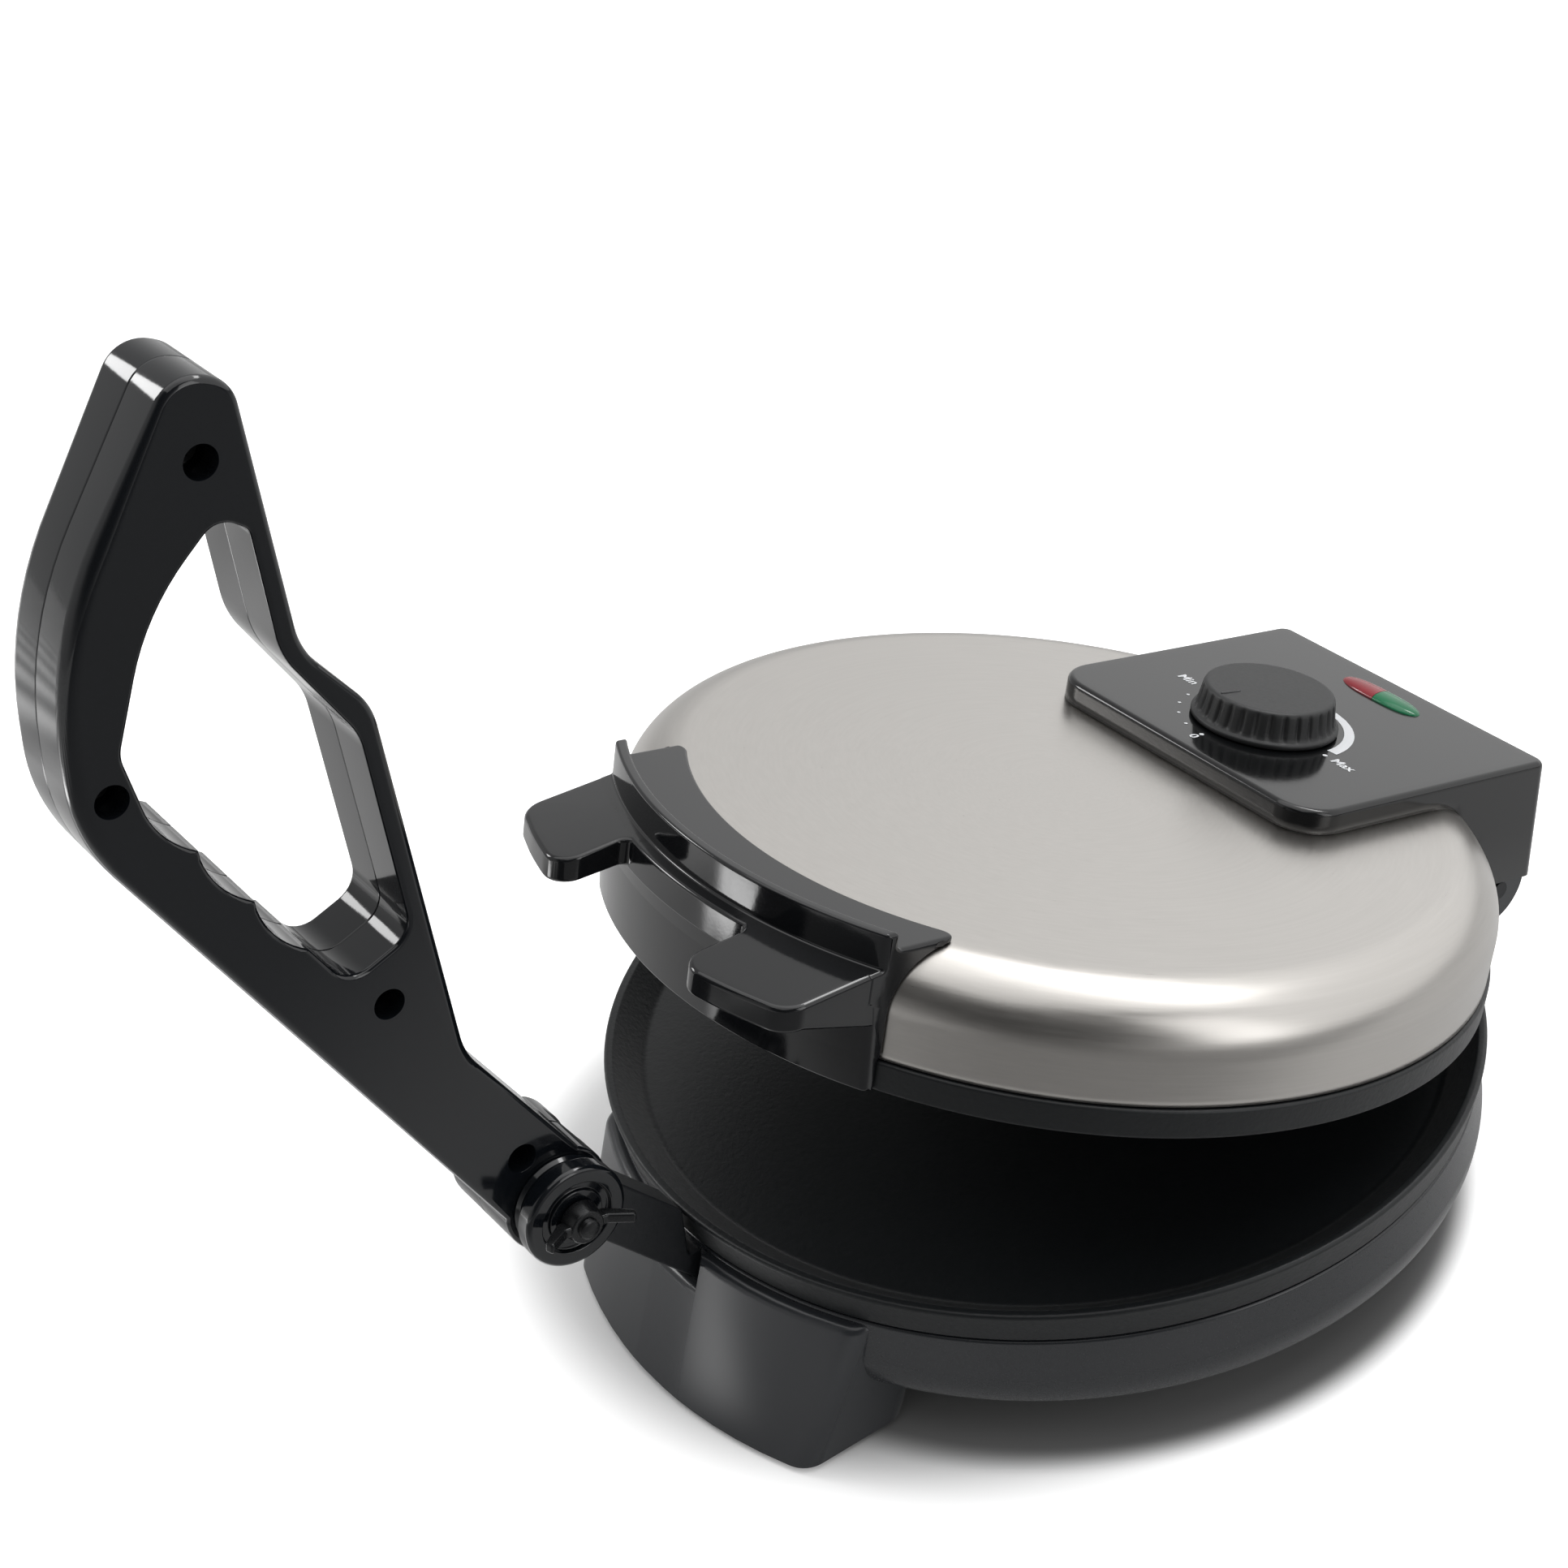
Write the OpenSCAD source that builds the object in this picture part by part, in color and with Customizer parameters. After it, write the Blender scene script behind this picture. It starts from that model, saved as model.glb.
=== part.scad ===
// Electric roti maker: two round cast plates, a hinged lid and a pressing lever.
// Millimetres, +Z up, the user stands at -Y, the hinge is at +Y. The origin lies on
// the table under the centre of the lower plate. The lid is drawn closed and then
// opened to its rest angle; the lever is drawn along its own axis and then leaned out.

/* [Lower plate] */
// Radius of the rim crest of the lower plate
plate_r = 135; // [128:1:142]
// Height of the rim crest above the table
crest_z = 60; // [56:1:70]
// Height of the grey outer band of the rim
band_h = 11; // [9:0.5:13]
// How far the band draws in towards its lower edge
band_draw = 2.5; // [1.5:0.5:3.5]
// Depth of the cooking face below the crest
pan_depth = 7; // [6:0.5:9]
// Thickness of the cast plates
plate_t = 5; // [4:0.5:6]
// Width of the flat crest
crest_w = 3; // [2:0.5:4]
// Width of the slope from the crest to the cooking face
slope_w = 9; // [7:0.5:11]

/* [Upper plate] */
// How far the upper plate's edge ring lies inside the lower plate's rim
ring_in = 3; // [1:0.5:6]
// Height of the edge ring
ring_h = 8.8; // [7:0.2:10]
// Air gap between ring and crest when closed
closing_gap = 0.6; // [0.4:0.1:1.5]
// Gap between the two cooking faces when closed
dough_gap = 2.5; // [2:0.5:4]

/* [Lid] */
// Opening angle of the lid at rest
lid_rest = 14.5; // [8:0.5:20]
// Height of the hinge axis above the crest
hinge_up = 0; // [-1:0.5:1]
// Distance of the hinge axis behind the plate rim
hinge_back = 13; // [12.5:0.5:16]
// How far the steel cover's wall lies inside the edge ring
cover_in = 1; // [0.5:0.5:3]
// Height of the cover's flat top above the crest
cover_top = 41; // [38:1:44]
// Radius of the cover's rounded shoulder
shoulder_r = 18; // [12:1:22]
// Sheet thickness of the cover
cover_t = 1; // [0.8:0.1:1.5]
// Dark joint between ring and cover
joint_h = 0.5; // [0.3:0.1:0.9]

/* [Lid handle] */
// Half width of the lid handle
handle_x = 65; // [58:1:68]
// Half width of the gap between the two tabs
tab_gap_x = 29; // [24:1:34]
// Reach of the tabs beyond the ridge
tab_reach = 27.2; // [20:0.2:34]
// Height of the tabs' outer edge above the crest
tab_edge_z = 32; // [30:1:34]
// Height of the tabs' root above the crest
tab_root_z = 38.5; // [37:0.5:40]
// Thickness of the tabs at the outer edge
tab_t = 8; // [6:0.5:10]
// Height of the ridge above the crest
ridge_z = 48; // [46:0.5:52]
// How far the ridge's outer face lies outside the edge ring
ridge_out = 2.8; // [2.6:0.1:4]
// Thickness of the ridge
ridge_t = 3.5; // [3:0.5:5]
// Lap of the flap onto the flat top of the cover
flap_lap = 0.3; // [0.1:0.1:5]
// Height of the flap above the flat top of the cover
flap_up = 1.8; // [1.2:0.2:3]
// How far the skirt's lower edge lies outside the edge ring
skirt_out = 3.4; // [3:0.1:5]

/* [Control box] */
// Half width of the control box
box_x = 58; // [54:1:62]
// Depth of the box from front to rear, at its top
box_deep = 105; // [98:1:112]
// How far the box's rear face lies in front of the hinge axis, at its top
box_rear_in = 1; // [-3:0.5:3]
// How far the rear face leans out towards its foot
box_lean = 6; // [4:0.5:8]
// Height of the box's top above the crest
box_top = 48.7; // [46:0.1:52]
// Height of the box's foot above the crest
box_foot = 8.4; // [7:0.1:10]
// Radius of the box's front corners
box_corner = 14; // [10:1:18]
// Radius of the box's rear corners
box_rear_corner = 4; // [3:0.5:6]
// Width of the bevel round the box's top
box_bevel = 2; // [1:0.5:3]
// Wall of the box
box_wall = 2.5; // [2:0.1:3]

/* [Thermostat and lamps] */
// Distance of the dial in front of the box's rear face
dial_in = 67; // [62:0.5:70]
// Radius of the knob's flange
knob_flange_r = 23; // [21:0.5:25]
// Height of the dial's flange
knob_flange_h = 2; // [1:0.5:4]
// Radius of the knob's fluted body at its foot
knob_r = 21.5; // [19:0.5:22]
// Radius of the knob's flat top
knob_top_r = 20; // [17:0.5:20.5]
// Height of the knob
knob_h = 11; // [9:0.5:14]
// Number of flutes round the knob
knob_flutes = 30; // [16:1:36]
// Radius of the thermostat's shaft
shaft_r = 3; // [2.5:0.1:3.5]
// Running clearance of the shaft in its bushing, on the radius
shaft_play = 0.05; // [0.03:0.01:0.1]
// Radius of the thermostat body
thermostat_r = 17; // [14:1:20]
// Height of the thermostat body
thermostat_h = 15; // [12:1:18]
// Distance of the indicator lens in front of the box's rear face
lens_in = 14.3; // [13:0.1:17]
// Half length of the indicator lens
lens_x = 17; // [14:0.5:20]
// Half width of the indicator lens
lens_w = 4.5; // [3.5:0.5:6]
// How far the lens stands proud of the box
lens_up = 1.2; // [0.8:0.1:2]

/* [Hinge] */
// Radius of the barrel on the rear leg
barrel_r = 15; // [13:0.5:15]
// Half width of the barrel
barrel_x = 47; // [44:1:50]
// Half width of the bay for the lid's knuckles
bay_x = 30; // [26:1:34]
// Radius of the hinge pin
pin_r = 3; // [2.5:0.1:3.5]
// Running clearance round the pin, on the radius
pin_play = 0.05; // [0.03:0.01:0.1]
// Radius of the lid's knuckles
knuckle_r = 8; // [7:0.5:9]
// Width of each knuckle
knuckle_w = 12; // [10:1:14]
// Thickness of the washers beside the knuckles
washer_t = 1; // [0.8:0.1:1.5]

/* [Base] */
// How far the housing lies inside the lower plate's rim
housing_in = 1; // [0:0.5:3]
// Depth of the housing's floor below the crest
housing_deep = 42; // [38:1:46]
// Radius of the housing's belly
belly_r = 17; // [12:1:20]
// Wall of the housing and the legs
wall = 2.5; // [2:0.1:3]
// Half width of the front leg at its top
leg_top_x = 65; // [60:1:68]
// Half width of the front leg at its foot
leg_foot_x = 60; // [54:1:64]
// Half width of the rear leg
rear_leg_x = 43; // [38:1:46]
// How far the legs flare out between top and foot
leg_flare = 15; // [10:1:18]
// Depth of the legs' tops below the crest
leg_top_deep = 12.7; // [12:0.1:14]
// Depth of the legs at the foot, front to back
leg_depth = 50; // [44:1:54]
// Radius of the legs' upright corners
leg_corner = 8; // [5:1:12]
// Radius of the rubber feet
foot_r = 7; // [5:0.5:9]
// Height of the rubber feet
foot_h = 1.5; // [1:0.5:3]
// Half width of the notch for the lever bracket
notch_x = 10.7; // [9:0.1:13]
// Depth of the notch below the leg's top
notch_deep = 10; // [8:0.5:14]

/* [Lever] */
// Lean of the lever out from the vertical at rest
lever_lean = 12.4; // [8:0.1:16]
// Distance of the pivot in front of the lower plate's rim
hub_out = 44.2; // [41:0.1:49]
// Height of the pivot above the crest
hub_up = 38.5; // [36:0.1:42]
// Half thickness of the lever
lever_x = 15; // [13:0.5:17]
// Edge radius of the lever's shells
lever_edge = 3; // [1.5:0.5:4]
// Wall of the lever's shells
lever_wall = 2.2; // [1.8:0.1:2.6]
// Radius of the lever's barrel
hub_r = 16; // [15:0.5:17]
// Radius of the hub cap
cap_r = 15.5; // [14:0.5:16]
// Distance of the hub cap's face from the middle
cap_x = 25; // [23:0.5:27]
// Half thickness of the bracket arm
arm_x = 6; // [5:0.5:7]
// Width of the bracket arm
arm_w = 17; // [14:0.5:19]
// Slope of the bracket arm below the horizontal
arm_slope = 48.2; // [46:0.1:50]
// Radius of the bracket's eye
eye_r = 12.5; // [11:0.5:13]
// Radius of the pivot bolt
bolt_r = 3; // [2.5:0.1:3.5]
// Thickness of the bush round the bolt
bush_t = 1.5; // [1:0.1:2]
// Side clearance between the bracket's eye and the shells
eye_play = 0.5; // [0.4:0.1:0.8]
// Clearance of the bush on the bolt, on the radius
bush_play = 0.05; // [0.03:0.01:0.1]
// Radius of the screw wells in the lever
well_r = 4.2; // [3.4:0.1:4.4]

/* [Fasteners] */
// Radius of the small screws' shanks
screw_r = 1.6; // [1.4:0.1:2]
// Radius of the small screws' heads
screw_head_r = 3; // [2.6:0.1:3.4]
// Height of the small screws' heads
screw_head_h = 2; // [1.6:0.1:2.4]
// Air left between pieces that are screwed together
fit_gap = 0.15; // [0.1:0.01:0.2]

/* [Hidden] */
$fn = 96;
eps = 0.01;
ring_r = plate_r - ring_in;
cover_r = ring_r - cover_in;
housing_r = plate_r - housing_in;
ridge_r = ring_r + ridge_out;
tab_r = ridge_r + tab_reach;
skirt_r = ring_r + skirt_out;
flap_r = cover_r - shoulder_r - flap_lap;
hub_y = plate_r + hub_out;
hinge_y = plate_r + hinge_back;
box_rear = hinge_y - box_rear_in;
box_front = box_rear - box_deep;
dial_y = box_rear - dial_in;
lens_y = box_rear - lens_in;
hinge_z = crest_z + hinge_up;
ring_z = crest_z + closing_gap;
ring_top_z = ring_z + ring_h;
cover_z = ring_top_z + joint_h;
cover_top_z = crest_z + cover_top;
face_z = crest_z - pan_depth + dough_gap;
box_top_z = crest_z + box_top;
box_foot_z = crest_z + box_foot;
housing_z = crest_z - housing_deep;
housing_top_z = crest_z - band_h - 0.5;
leg_top_z = crest_z - leg_top_deep;
leg_top_r = plate_r + 1;
leg_foot_r = leg_top_r + leg_flare;
hub_z = crest_z + hub_up;
knuckle_edge_x = bay_x - washer_t - fit_gap;
knuckle_x = knuckle_edge_x - knuckle_w;
bush_r = bolt_r + bush_play + bush_t;
plate_under_z = crest_z - pan_depth - plate_t;
// posts, screws and feet
post_r = 4;
post_count = 4;
post_ring_r = plate_r - 23;
cover_hole_r = leg_foot_r - leg_depth - 13;
cover_disc_t = 1.5;
leg_screw_x = 30;
leg_screw_y = leg_foot_r - leg_depth + 6;
leg_head_z = foot_h + 5;
leg_floor_z = housing_z - 6;
foot_in = 14;
foot_back = 20;
foot_sunk = 3;
// foot of the lever bracket
pedestal_x = 14;
pedestal_z = crest_z - 37;
pedestal_y0 = plate_r - 4;
pedestal_y1 = pedestal_y0 - 19;
bracket_screw_x = 10;
bracket_screw_y = [pedestal_y0 - 4.5, pedestal_y1 + 4.5];
foot_plate_t = 4;
arm_gap = 1.6;
// heating
element_r = plate_r - 43;
element_tube_r = 3.5;
element_open = 24;
shield_t = 0.8;
lower_shield_r = plate_r - 17;
// cord gland, at the back on the left
gland_turn = 128;
gland_z = crest_z - 22;
gland_r = 5.5;
gland_seat = housing_r + 1.2;
// screws in the lid
box_post_x = box_x - 10;
lid_post_x = 32;
box_posts = [for (x = [-box_post_x, box_post_x], y = [box_front + 18, box_front + 54]) [x, y]];
lid_posts = [for (x = [-lid_post_x, lid_post_x], y = [box_front + 16, cover_r - 25]) [x, y]];
handle_screw_turn = 20;
handle_screw_z = crest_z + 18;
hinge_screw_x = 20;
hinge_screw_z = crest_z + 21.5;
hinge_block_x = 26;
hinge_block_y = cover_r - 23;
hinge_block_d = 18;
web_x = knuckle_edge_x;
web_y = hinge_y - 9;
web_t = 6;
web_top_z = hinge_z + 30;
shaft_top_z = box_top_z + knob_h - 3;
knob_gap = 0.4;
flute_r = 1.9;
lens_dome = 12;
// pivot of the lever
barrel_in = 0.5;
barrel_under = 0.2;
slot_from = 62;
slot_to = 242;
well_floor = 4;
bolt_head_x = 20.5;
bolt_head_h = 4;
bolt_head_r = 6;
bolt_end_x = 34;
cap_groove_r = 9.5;
wing_h = 5;
wing_t = 3;
wing_turn = 60;

// Points of an arc about c with radius r, from angle a0 to a1
function arc(c, r, a0, a1, n) =
    [for (i = [0:n]) c + r * [cos(a0 + (a1 - a0) * i / n), sin(a0 + (a1 - a0) * i / n)]];

// Rounds the corners of a closed outline; each corner is [x, y, radius], sharp where it is 0
function rounded(v, n = 6) =
    [for (i = [0:len(v) - 1]) each v[i][2] == 0 ? [[v[i].x, v[i].y]] :
        let (b = [v[i].x, v[i].y], r = v[i][2],
             a = [v[(i + len(v) - 1) % len(v)].x, v[(i + len(v) - 1) % len(v)].y],
             c = [v[(i + 1) % len(v)].x, v[(i + 1) % len(v)].y],
             u = (a - b) / norm(a - b), w = (c - b) / norm(c - b),
             half = acos(u * w) / 2, m = (u + w) / norm(u + w),
             o = b + m * r / sin(half), p = b + u * r / tan(half) - o,
             q = b + w * r / tan(half) - o,
             a0 = atan2(p.y, p.x), d = atan2(q.y, q.x) - a0,
             turn = d > 180 ? d - 360 : d < -180 ? d + 360 : d)
        [for (k = [0:n]) o + r * [cos(a0 + turn * k / n), sin(a0 + turn * k / n)]]];

// Moves each point of a closed anticlockwise outline inwards by d
function inset(v, d) =
    [for (i = [0:len(v) - 1])
        let (t = v[(i + 1) % len(v)] - v[(i + len(v) - 1) % len(v)], u = t / norm(t))
        v[i] + d * [-u.y, u.x]];

// Solid through a stack of outlines, each a list of points with its height
module loft(rings) {
    n = len(rings[0][0]);
    m = len(rings);
    points = [for (g = rings) each [for (p = g[0]) [p.x, p.y, g[1]]]];
    sides = [for (k = [0:m - 2], i = [0:n - 1]) each
        [[k * n + i, k * n + n + i, k * n + (i + 1) % n],
         [k * n + (i + 1) % n, k * n + n + i, k * n + n + (i + 1) % n]]];
    polyhedron(points, concat([[for (i = [0:n - 1]) i]],
        [[for (i = [n - 1:-1:0]) (m - 1) * n + i]], sides));
}

// Band carried round an outline, which cuts the upper edge of a slab of height h round by r
module edge_cutter(v, h, r, steps = 4) {
    n = len(v);
    lap = 0.5;
    profile = concat([[-2 * lap, h - r - 2 * lap / tan(45 / steps)]],
        [for (k = [1:steps - 1]) [r * (1 - cos(90 * k / steps)), h - r + r * sin(90 * k / steps)]],
        [[r + lap, h + lap * tan(45 / steps)], [r + lap, h + 2], [-2 * lap, h + 2]]);
    m = len(profile);
    points = [for (q = profile) each [for (p = inset(v, q.x)) [p.x, p.y, q.y]]];
    polyhedron(points, [for (k = [0:m - 1], i = [0:n - 1])
        let (j = (i + 1) % n, up = (k + 1) % m)
        each [[k * n + i, k * n + j, up * n + i], [k * n + j, up * n + j, up * n + i]]]);
}

// Slab from 0 to h whose upper edge is rounded by r
module soft_slab(v, h, r) {
    difference() {
        linear_extrude(h) polygon(v);
        edge_cutter(v, h, r);
    }
}

// Screw with its head up; the shank goes down from z = 0
module screw(l, r = screw_r, head_r = screw_head_r, head_h = screw_head_h) {
    translate([0, 0, -l]) cylinder(r = r, h = l + eps, $fn = 24);
    difference() {
        cylinder(r = head_r, h = head_h, $fn = 32);
        translate([0, 0, head_h - 0.8]) cube([head_r * 1.2, 0.7, 2], center = true);
        translate([0, 0, head_h - 0.8]) cube([0.7, head_r * 1.2, 2], center = true);
    }
}

// Places its children round the plate centre
module around(n, r, start = 0) {
    for (i = [0:n - 1]) rotate(start + i * 360 / n) translate([r, 0, 0]) children();
}

// Turns the closed lid open to its rest angle about the hinge axis
module lid_pose() {
    translate([0, hinge_y, hinge_z]) rotate([-lid_rest, 0, 0])
        translate([0, -hinge_y, -hinge_z]) children();
}

// Carries the lever's own frame (x along the lever, y towards the lid) to its place
module lever_pose() {
    translate([0, -hub_y, hub_z]) rotate([lever_lean, 0, 0]) rotate([0, -90, 0]) children();
}

// Cylinder along X between two stations, about a centre in the Y-Z plane
module bar_x(x0, x1, y, z, r, fn = 48) {
    translate([x0, y, z]) rotate([0, 90, 0]) cylinder(r = r, h = x1 - x0, $fn = fn);
}

// Lower housing: a round belly pan that carries the lower plate
module housing_profile(grow, top) {
    rotate_extrude($fn = 160) polygon(concat([[0, housing_z - grow]],
        arc([housing_r - belly_r, housing_z + belly_r], belly_r + grow, -90, 0, 8),
        [[plate_r - band_draw + grow, housing_top_z], [plate_r - band_draw + grow, top], [0, top]]));
}

module lower_housing() {
    window = pedestal_x + fit_gap;
    color([0.17, 0.175, 0.19]) difference() {
        union() {
            difference() {
                housing_profile(0, housing_top_z);
                housing_profile(-wall, crest_z);
            }
            around(post_count, post_ring_r, 45) translate([0, 0, housing_z + 1])
                cylinder(r = post_r, h = plate_under_z - housing_z - 1 - fit_gap, $fn = 32);
            gland_place() translate([0, 0, gland_seat - 10]) cylinder(r = gland_r + 4, h = 10, $fn = 48);
        }
        translate([0, 0, housing_z - 1]) cylinder(r = cover_hole_r, h = wall + 2, $fn = 120);
        around(post_count, post_ring_r, 45) translate([0, 0, housing_z - 1])
            cylinder(r = screw_r + 0.1, h = 60, $fn = 24);
        around(3, cover_hole_r + 4, 30) translate([0, 0, housing_z - 1])
            cylinder(r = screw_r + 0.1, h = wall + 2, $fn = 24);
        for (s = [-1, 1]) for (x = [-leg_screw_x, leg_screw_x])
            translate([x, s * leg_screw_y, housing_z - 1])
                cylinder(r = screw_r + 0.1, h = wall + 2, $fn = 24);
        // opening for the pedestal, and above it for the arm of the lever bracket
        translate([-window, -pedestal_y0 - fit_gap, housing_z - 1])
            cube([2 * window, pedestal_y0 - pedestal_y1 + 2 * fit_gap, 20]);
        translate([-arm_x - 1, -plate_r - 5, housing_z + 6])
            cube([2 * arm_x + 2, 20, housing_top_z - housing_z]);
        gland_place() translate([0, 0, gland_seat - 20]) cylinder(r = gland_r + 0.1, h = 40, $fn = 32);
        gland_place() translate([0, 0, gland_seat - 40]) cylinder(r = gland_r + 4.5, h = 28.5, $fn = 48);
    }
}

// Legs: hollow blocks under the housing with a curved, flared outer face
module leg_slab(half, r, back) {
    linear_extrude(0.1) offset(r = leg_corner, $fn = 32) offset(delta = -leg_corner)
        intersection() {
            circle(r = r, $fn = 120);
            translate([-half, -r - 1]) square([2 * half, r + 1 - back]);
        }
}

module leg_solid(top_x, foot_x, less, z0) {
    back = leg_foot_r - leg_depth + less;
    hull() {
        translate([0, 0, z0]) leg_slab(foot_x - less, leg_foot_r - less, back);
        translate([0, 0, leg_top_z - less - 0.1]) leg_slab(top_x - less, leg_top_r - less, back - 12);
    }
}

module leg_hollow(top_x, foot_x) {
    difference() {
        leg_solid(top_x, foot_x, 0, foot_h);
        difference() {
            leg_solid(top_x, foot_x, wall, foot_h - 1);
            translate([-100, -200, leg_floor_z]) cube([200, 200, wall]);
        }
    }
}

module leg_posts(y) {
    for (x = [-leg_screw_x, leg_screw_x]) translate([x, y, foot_h + 1])
        cylinder(r = post_r, h = housing_z - foot_h - 1 - fit_gap, $fn = 32);
}

module leg_bores(y) {
    for (x = [-leg_screw_x, leg_screw_x]) translate([x, y, 0]) {
        cylinder(r = screw_r + 0.1, h = housing_z, $fn = 24);
        cylinder(r = screw_head_r + 0.2, h = leg_head_z, $fn = 32);
    }
}

module foot_bosses(half) {
    for (x = [-1, 1]) translate([x * (half - foot_in), -leg_foot_r + foot_back, foot_h])
        cylinder(r = foot_r + 2, h = foot_sunk + 3, $fn = 48);
}

module foot_wells(half) {
    for (x = [-1, 1]) translate([x * (half - foot_in), -leg_foot_r + foot_back, -1])
        cylinder(r = foot_r + 0.1, h = foot_h + foot_sunk + 1 + fit_gap, $fn = 48);
}

module housing_clearance() {
    housing_profile(fit_gap, crest_z + 30);
}

module pedestal(grow) {
    translate([-pedestal_x - grow, -pedestal_y0 - grow, foot_h])
        cube([2 * pedestal_x + 2 * grow, pedestal_y0 - pedestal_y1 + 2 * grow, pedestal_z - foot_h]);
}

module front_leg() {
    color([0.2, 0.2, 0.21]) difference() {
        union() {
            leg_hollow(leg_top_x, leg_foot_x);
            leg_posts(-leg_screw_y);
            foot_bosses(leg_foot_x);
            pedestal(0);
        }
        difference() {
            housing_clearance();
            pedestal(0.01);
        }
        translate([-notch_x, -leg_foot_r, leg_top_z - notch_deep])
            cube([2 * notch_x, leg_depth, notch_deep + 1]);
        translate([-arm_x - 1, -leg_foot_r + 6, pedestal_z + 4])
            cube([2 * arm_x + 2, leg_depth, leg_top_z]);
        leg_bores(-leg_screw_y);
        for (x = [-bracket_screw_x, bracket_screw_x]) for (y = bracket_screw_y)
            translate([x, -y, pedestal_z - 12]) cylinder(r = screw_r, h = 20, $fn = 24);
        foot_wells(leg_foot_x);
    }
}

// Rear leg: like the front one, with two ears that carry the hinge barrels
module rear_leg() {
    color([0.2, 0.2, 0.21]) difference() {
        union() {
            mirror([0, 1, 0]) leg_hollow(rear_leg_x, rear_leg_x);
            leg_posts(leg_screw_y);
            mirror([0, 1, 0]) foot_bosses(rear_leg_x);
            for (s = [-1, 1]) {
                translate([s > 0 ? bay_x : -rear_leg_x, 0, 0]) rotate([90, 0, 90])
                    linear_extrude(rear_leg_x - bay_x) polygon([
                        [hinge_y - barrel_r, hinge_z], [hinge_y - barrel_r, foot_h],
                        [leg_foot_r - leg_corner, foot_h], [hinge_y + barrel_r, hinge_z]]);
                bar_x(s > 0 ? bay_x : -barrel_x, s > 0 ? barrel_x : -bay_x,
                    hinge_y, hinge_z, barrel_r, 64);
            }
        }
        housing_clearance();
        bar_x(-barrel_x - 1, barrel_x + 1, hinge_y, hinge_z, pin_r + pin_play);
        leg_bores(leg_screw_y);
        mirror([0, 1, 0]) foot_wells(rear_leg_x);
    }
}

// Bottom cover: a pressed disc over the opening in the housing's floor
module bottom_cover() {
    color([0.6, 0.6, 0.6]) difference() {
        translate([0, 0, housing_z - fit_gap - cover_disc_t]) union() {
            cylinder(r = cover_hole_r + 9, h = cover_disc_t, $fn = 120);
            cylinder(r = cover_hole_r - 1, h = cover_disc_t + 1.5, $fn = 120);
        }
        for (i = [0:11]) rotate(i * 30) translate([40, -2, housing_z - 4]) cube([34, 4, 8]);
        around(3, cover_hole_r + 4, 30) translate([0, 0, housing_z - 4])
            cylinder(r = screw_r + 0.1, h = 8, $fn = 24);
    }
}

module bottom_cover_screws() {
    color([0.5, 0.5, 0.5]) around(3, cover_hole_r + 4, 30)
        translate([0, 0, housing_z - 2 * fit_gap - cover_disc_t]) mirror([0, 0, 1]) screw(5);
}

module rubber_feet() {
    color([0.1, 0.1, 0.1]) for (s = [-1, 1]) for (x = [-1, 1])
        translate([x * ((s < 0 ? leg_foot_x : rear_leg_x) - foot_in), s * (leg_foot_r - foot_back), 0])
            cylinder(r = foot_r, h = foot_h + foot_sunk, $fn = 48);
}

module leg_screws() {
    color([0.5, 0.5, 0.5]) for (s = [-1, 1]) for (x = [-leg_screw_x, leg_screw_x])
        translate([x, s * leg_screw_y, leg_head_z - fit_gap]) mirror([0, 0, 1])
            screw(housing_z + wall + 1.5 - leg_head_z);
}

// Lower plate: a cast pan with a sloped rim and a grey outer band
module lower_plate() {
    in_r = plate_r - crest_w - slope_w;
    color([0.13, 0.135, 0.15]) difference() {
        rotate_extrude($fn = 160) polygon([
            [0, plate_under_z], [in_r - 2, plate_under_z],
            [plate_r - crest_w - 2, crest_z - plate_t], [plate_r - band_draw - 3, crest_z - band_h],
            [plate_r - band_draw, crest_z - band_h], [plate_r, crest_z - 0.6],
            [plate_r - 0.6, crest_z], [plate_r - crest_w, crest_z],
            [in_r, crest_z - pan_depth], [0, crest_z - pan_depth]]);
        around(post_count, post_ring_r, 45) translate([0, 0, plate_under_z - 1])
            cylinder(r = screw_r + 0.1, h = 1 + plate_t - 1.5, $fn = 24);
    }
}

module lower_plate_screws() {
    color([0.5, 0.5, 0.5]) around(post_count, post_ring_r, 45)
        translate([0, 0, housing_z - fit_gap]) mirror([0, 0, 1])
            screw(plate_under_z + plate_t - 2 - housing_z);
}

// Tubular heating element: an open ring whose two ends turn up, away from the plate
module element(h) {
    rotate([0, 0, 90 + element_open / 2]) rotate_extrude(angle = 360 - element_open, $fn = 160)
        translate([element_r, 0]) circle(r = element_tube_r, $fn = 24);
    for (s = [-1, 1]) rotate(90 + s * element_open / 2) translate([element_r, 0, 0]) {
        sphere(r = element_tube_r, $fn = 24);
        cylinder(r = element_tube_r, h = h, $fn = 24);
        cylinder(r = 1.5, h = h + 6, $fn = 16);
    }
}

module lower_heating_element() {
    color([0.45, 0.42, 0.4]) translate([0, 0, plate_under_z - element_tube_r - fit_gap])
        mirror([0, 0, 1]) element(8);
}

// Heat shield: a thin disc with a turned edge and holes for posts and element ends
module shield(post_list, shield_r) {
    difference() {
        union() {
            cylinder(r = shield_r, h = shield_t, $fn = 120);
            difference() {
                cylinder(r = shield_r, h = 4, $fn = 120);
                translate([0, 0, -1]) cylinder(r = shield_r - shield_t, h = 6, $fn = 120);
            }
        }
        for (p = post_list) translate([p.x, p.y, -1])
            cylinder(r = post_r + fit_gap, h = 8, $fn = 32);
        for (s = [-1, 1]) rotate(90 + s * element_open / 2) translate([element_r, 0, -1])
            cylinder(r = element_tube_r + 0.5, h = 3, $fn = 24);
    }
}

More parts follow.
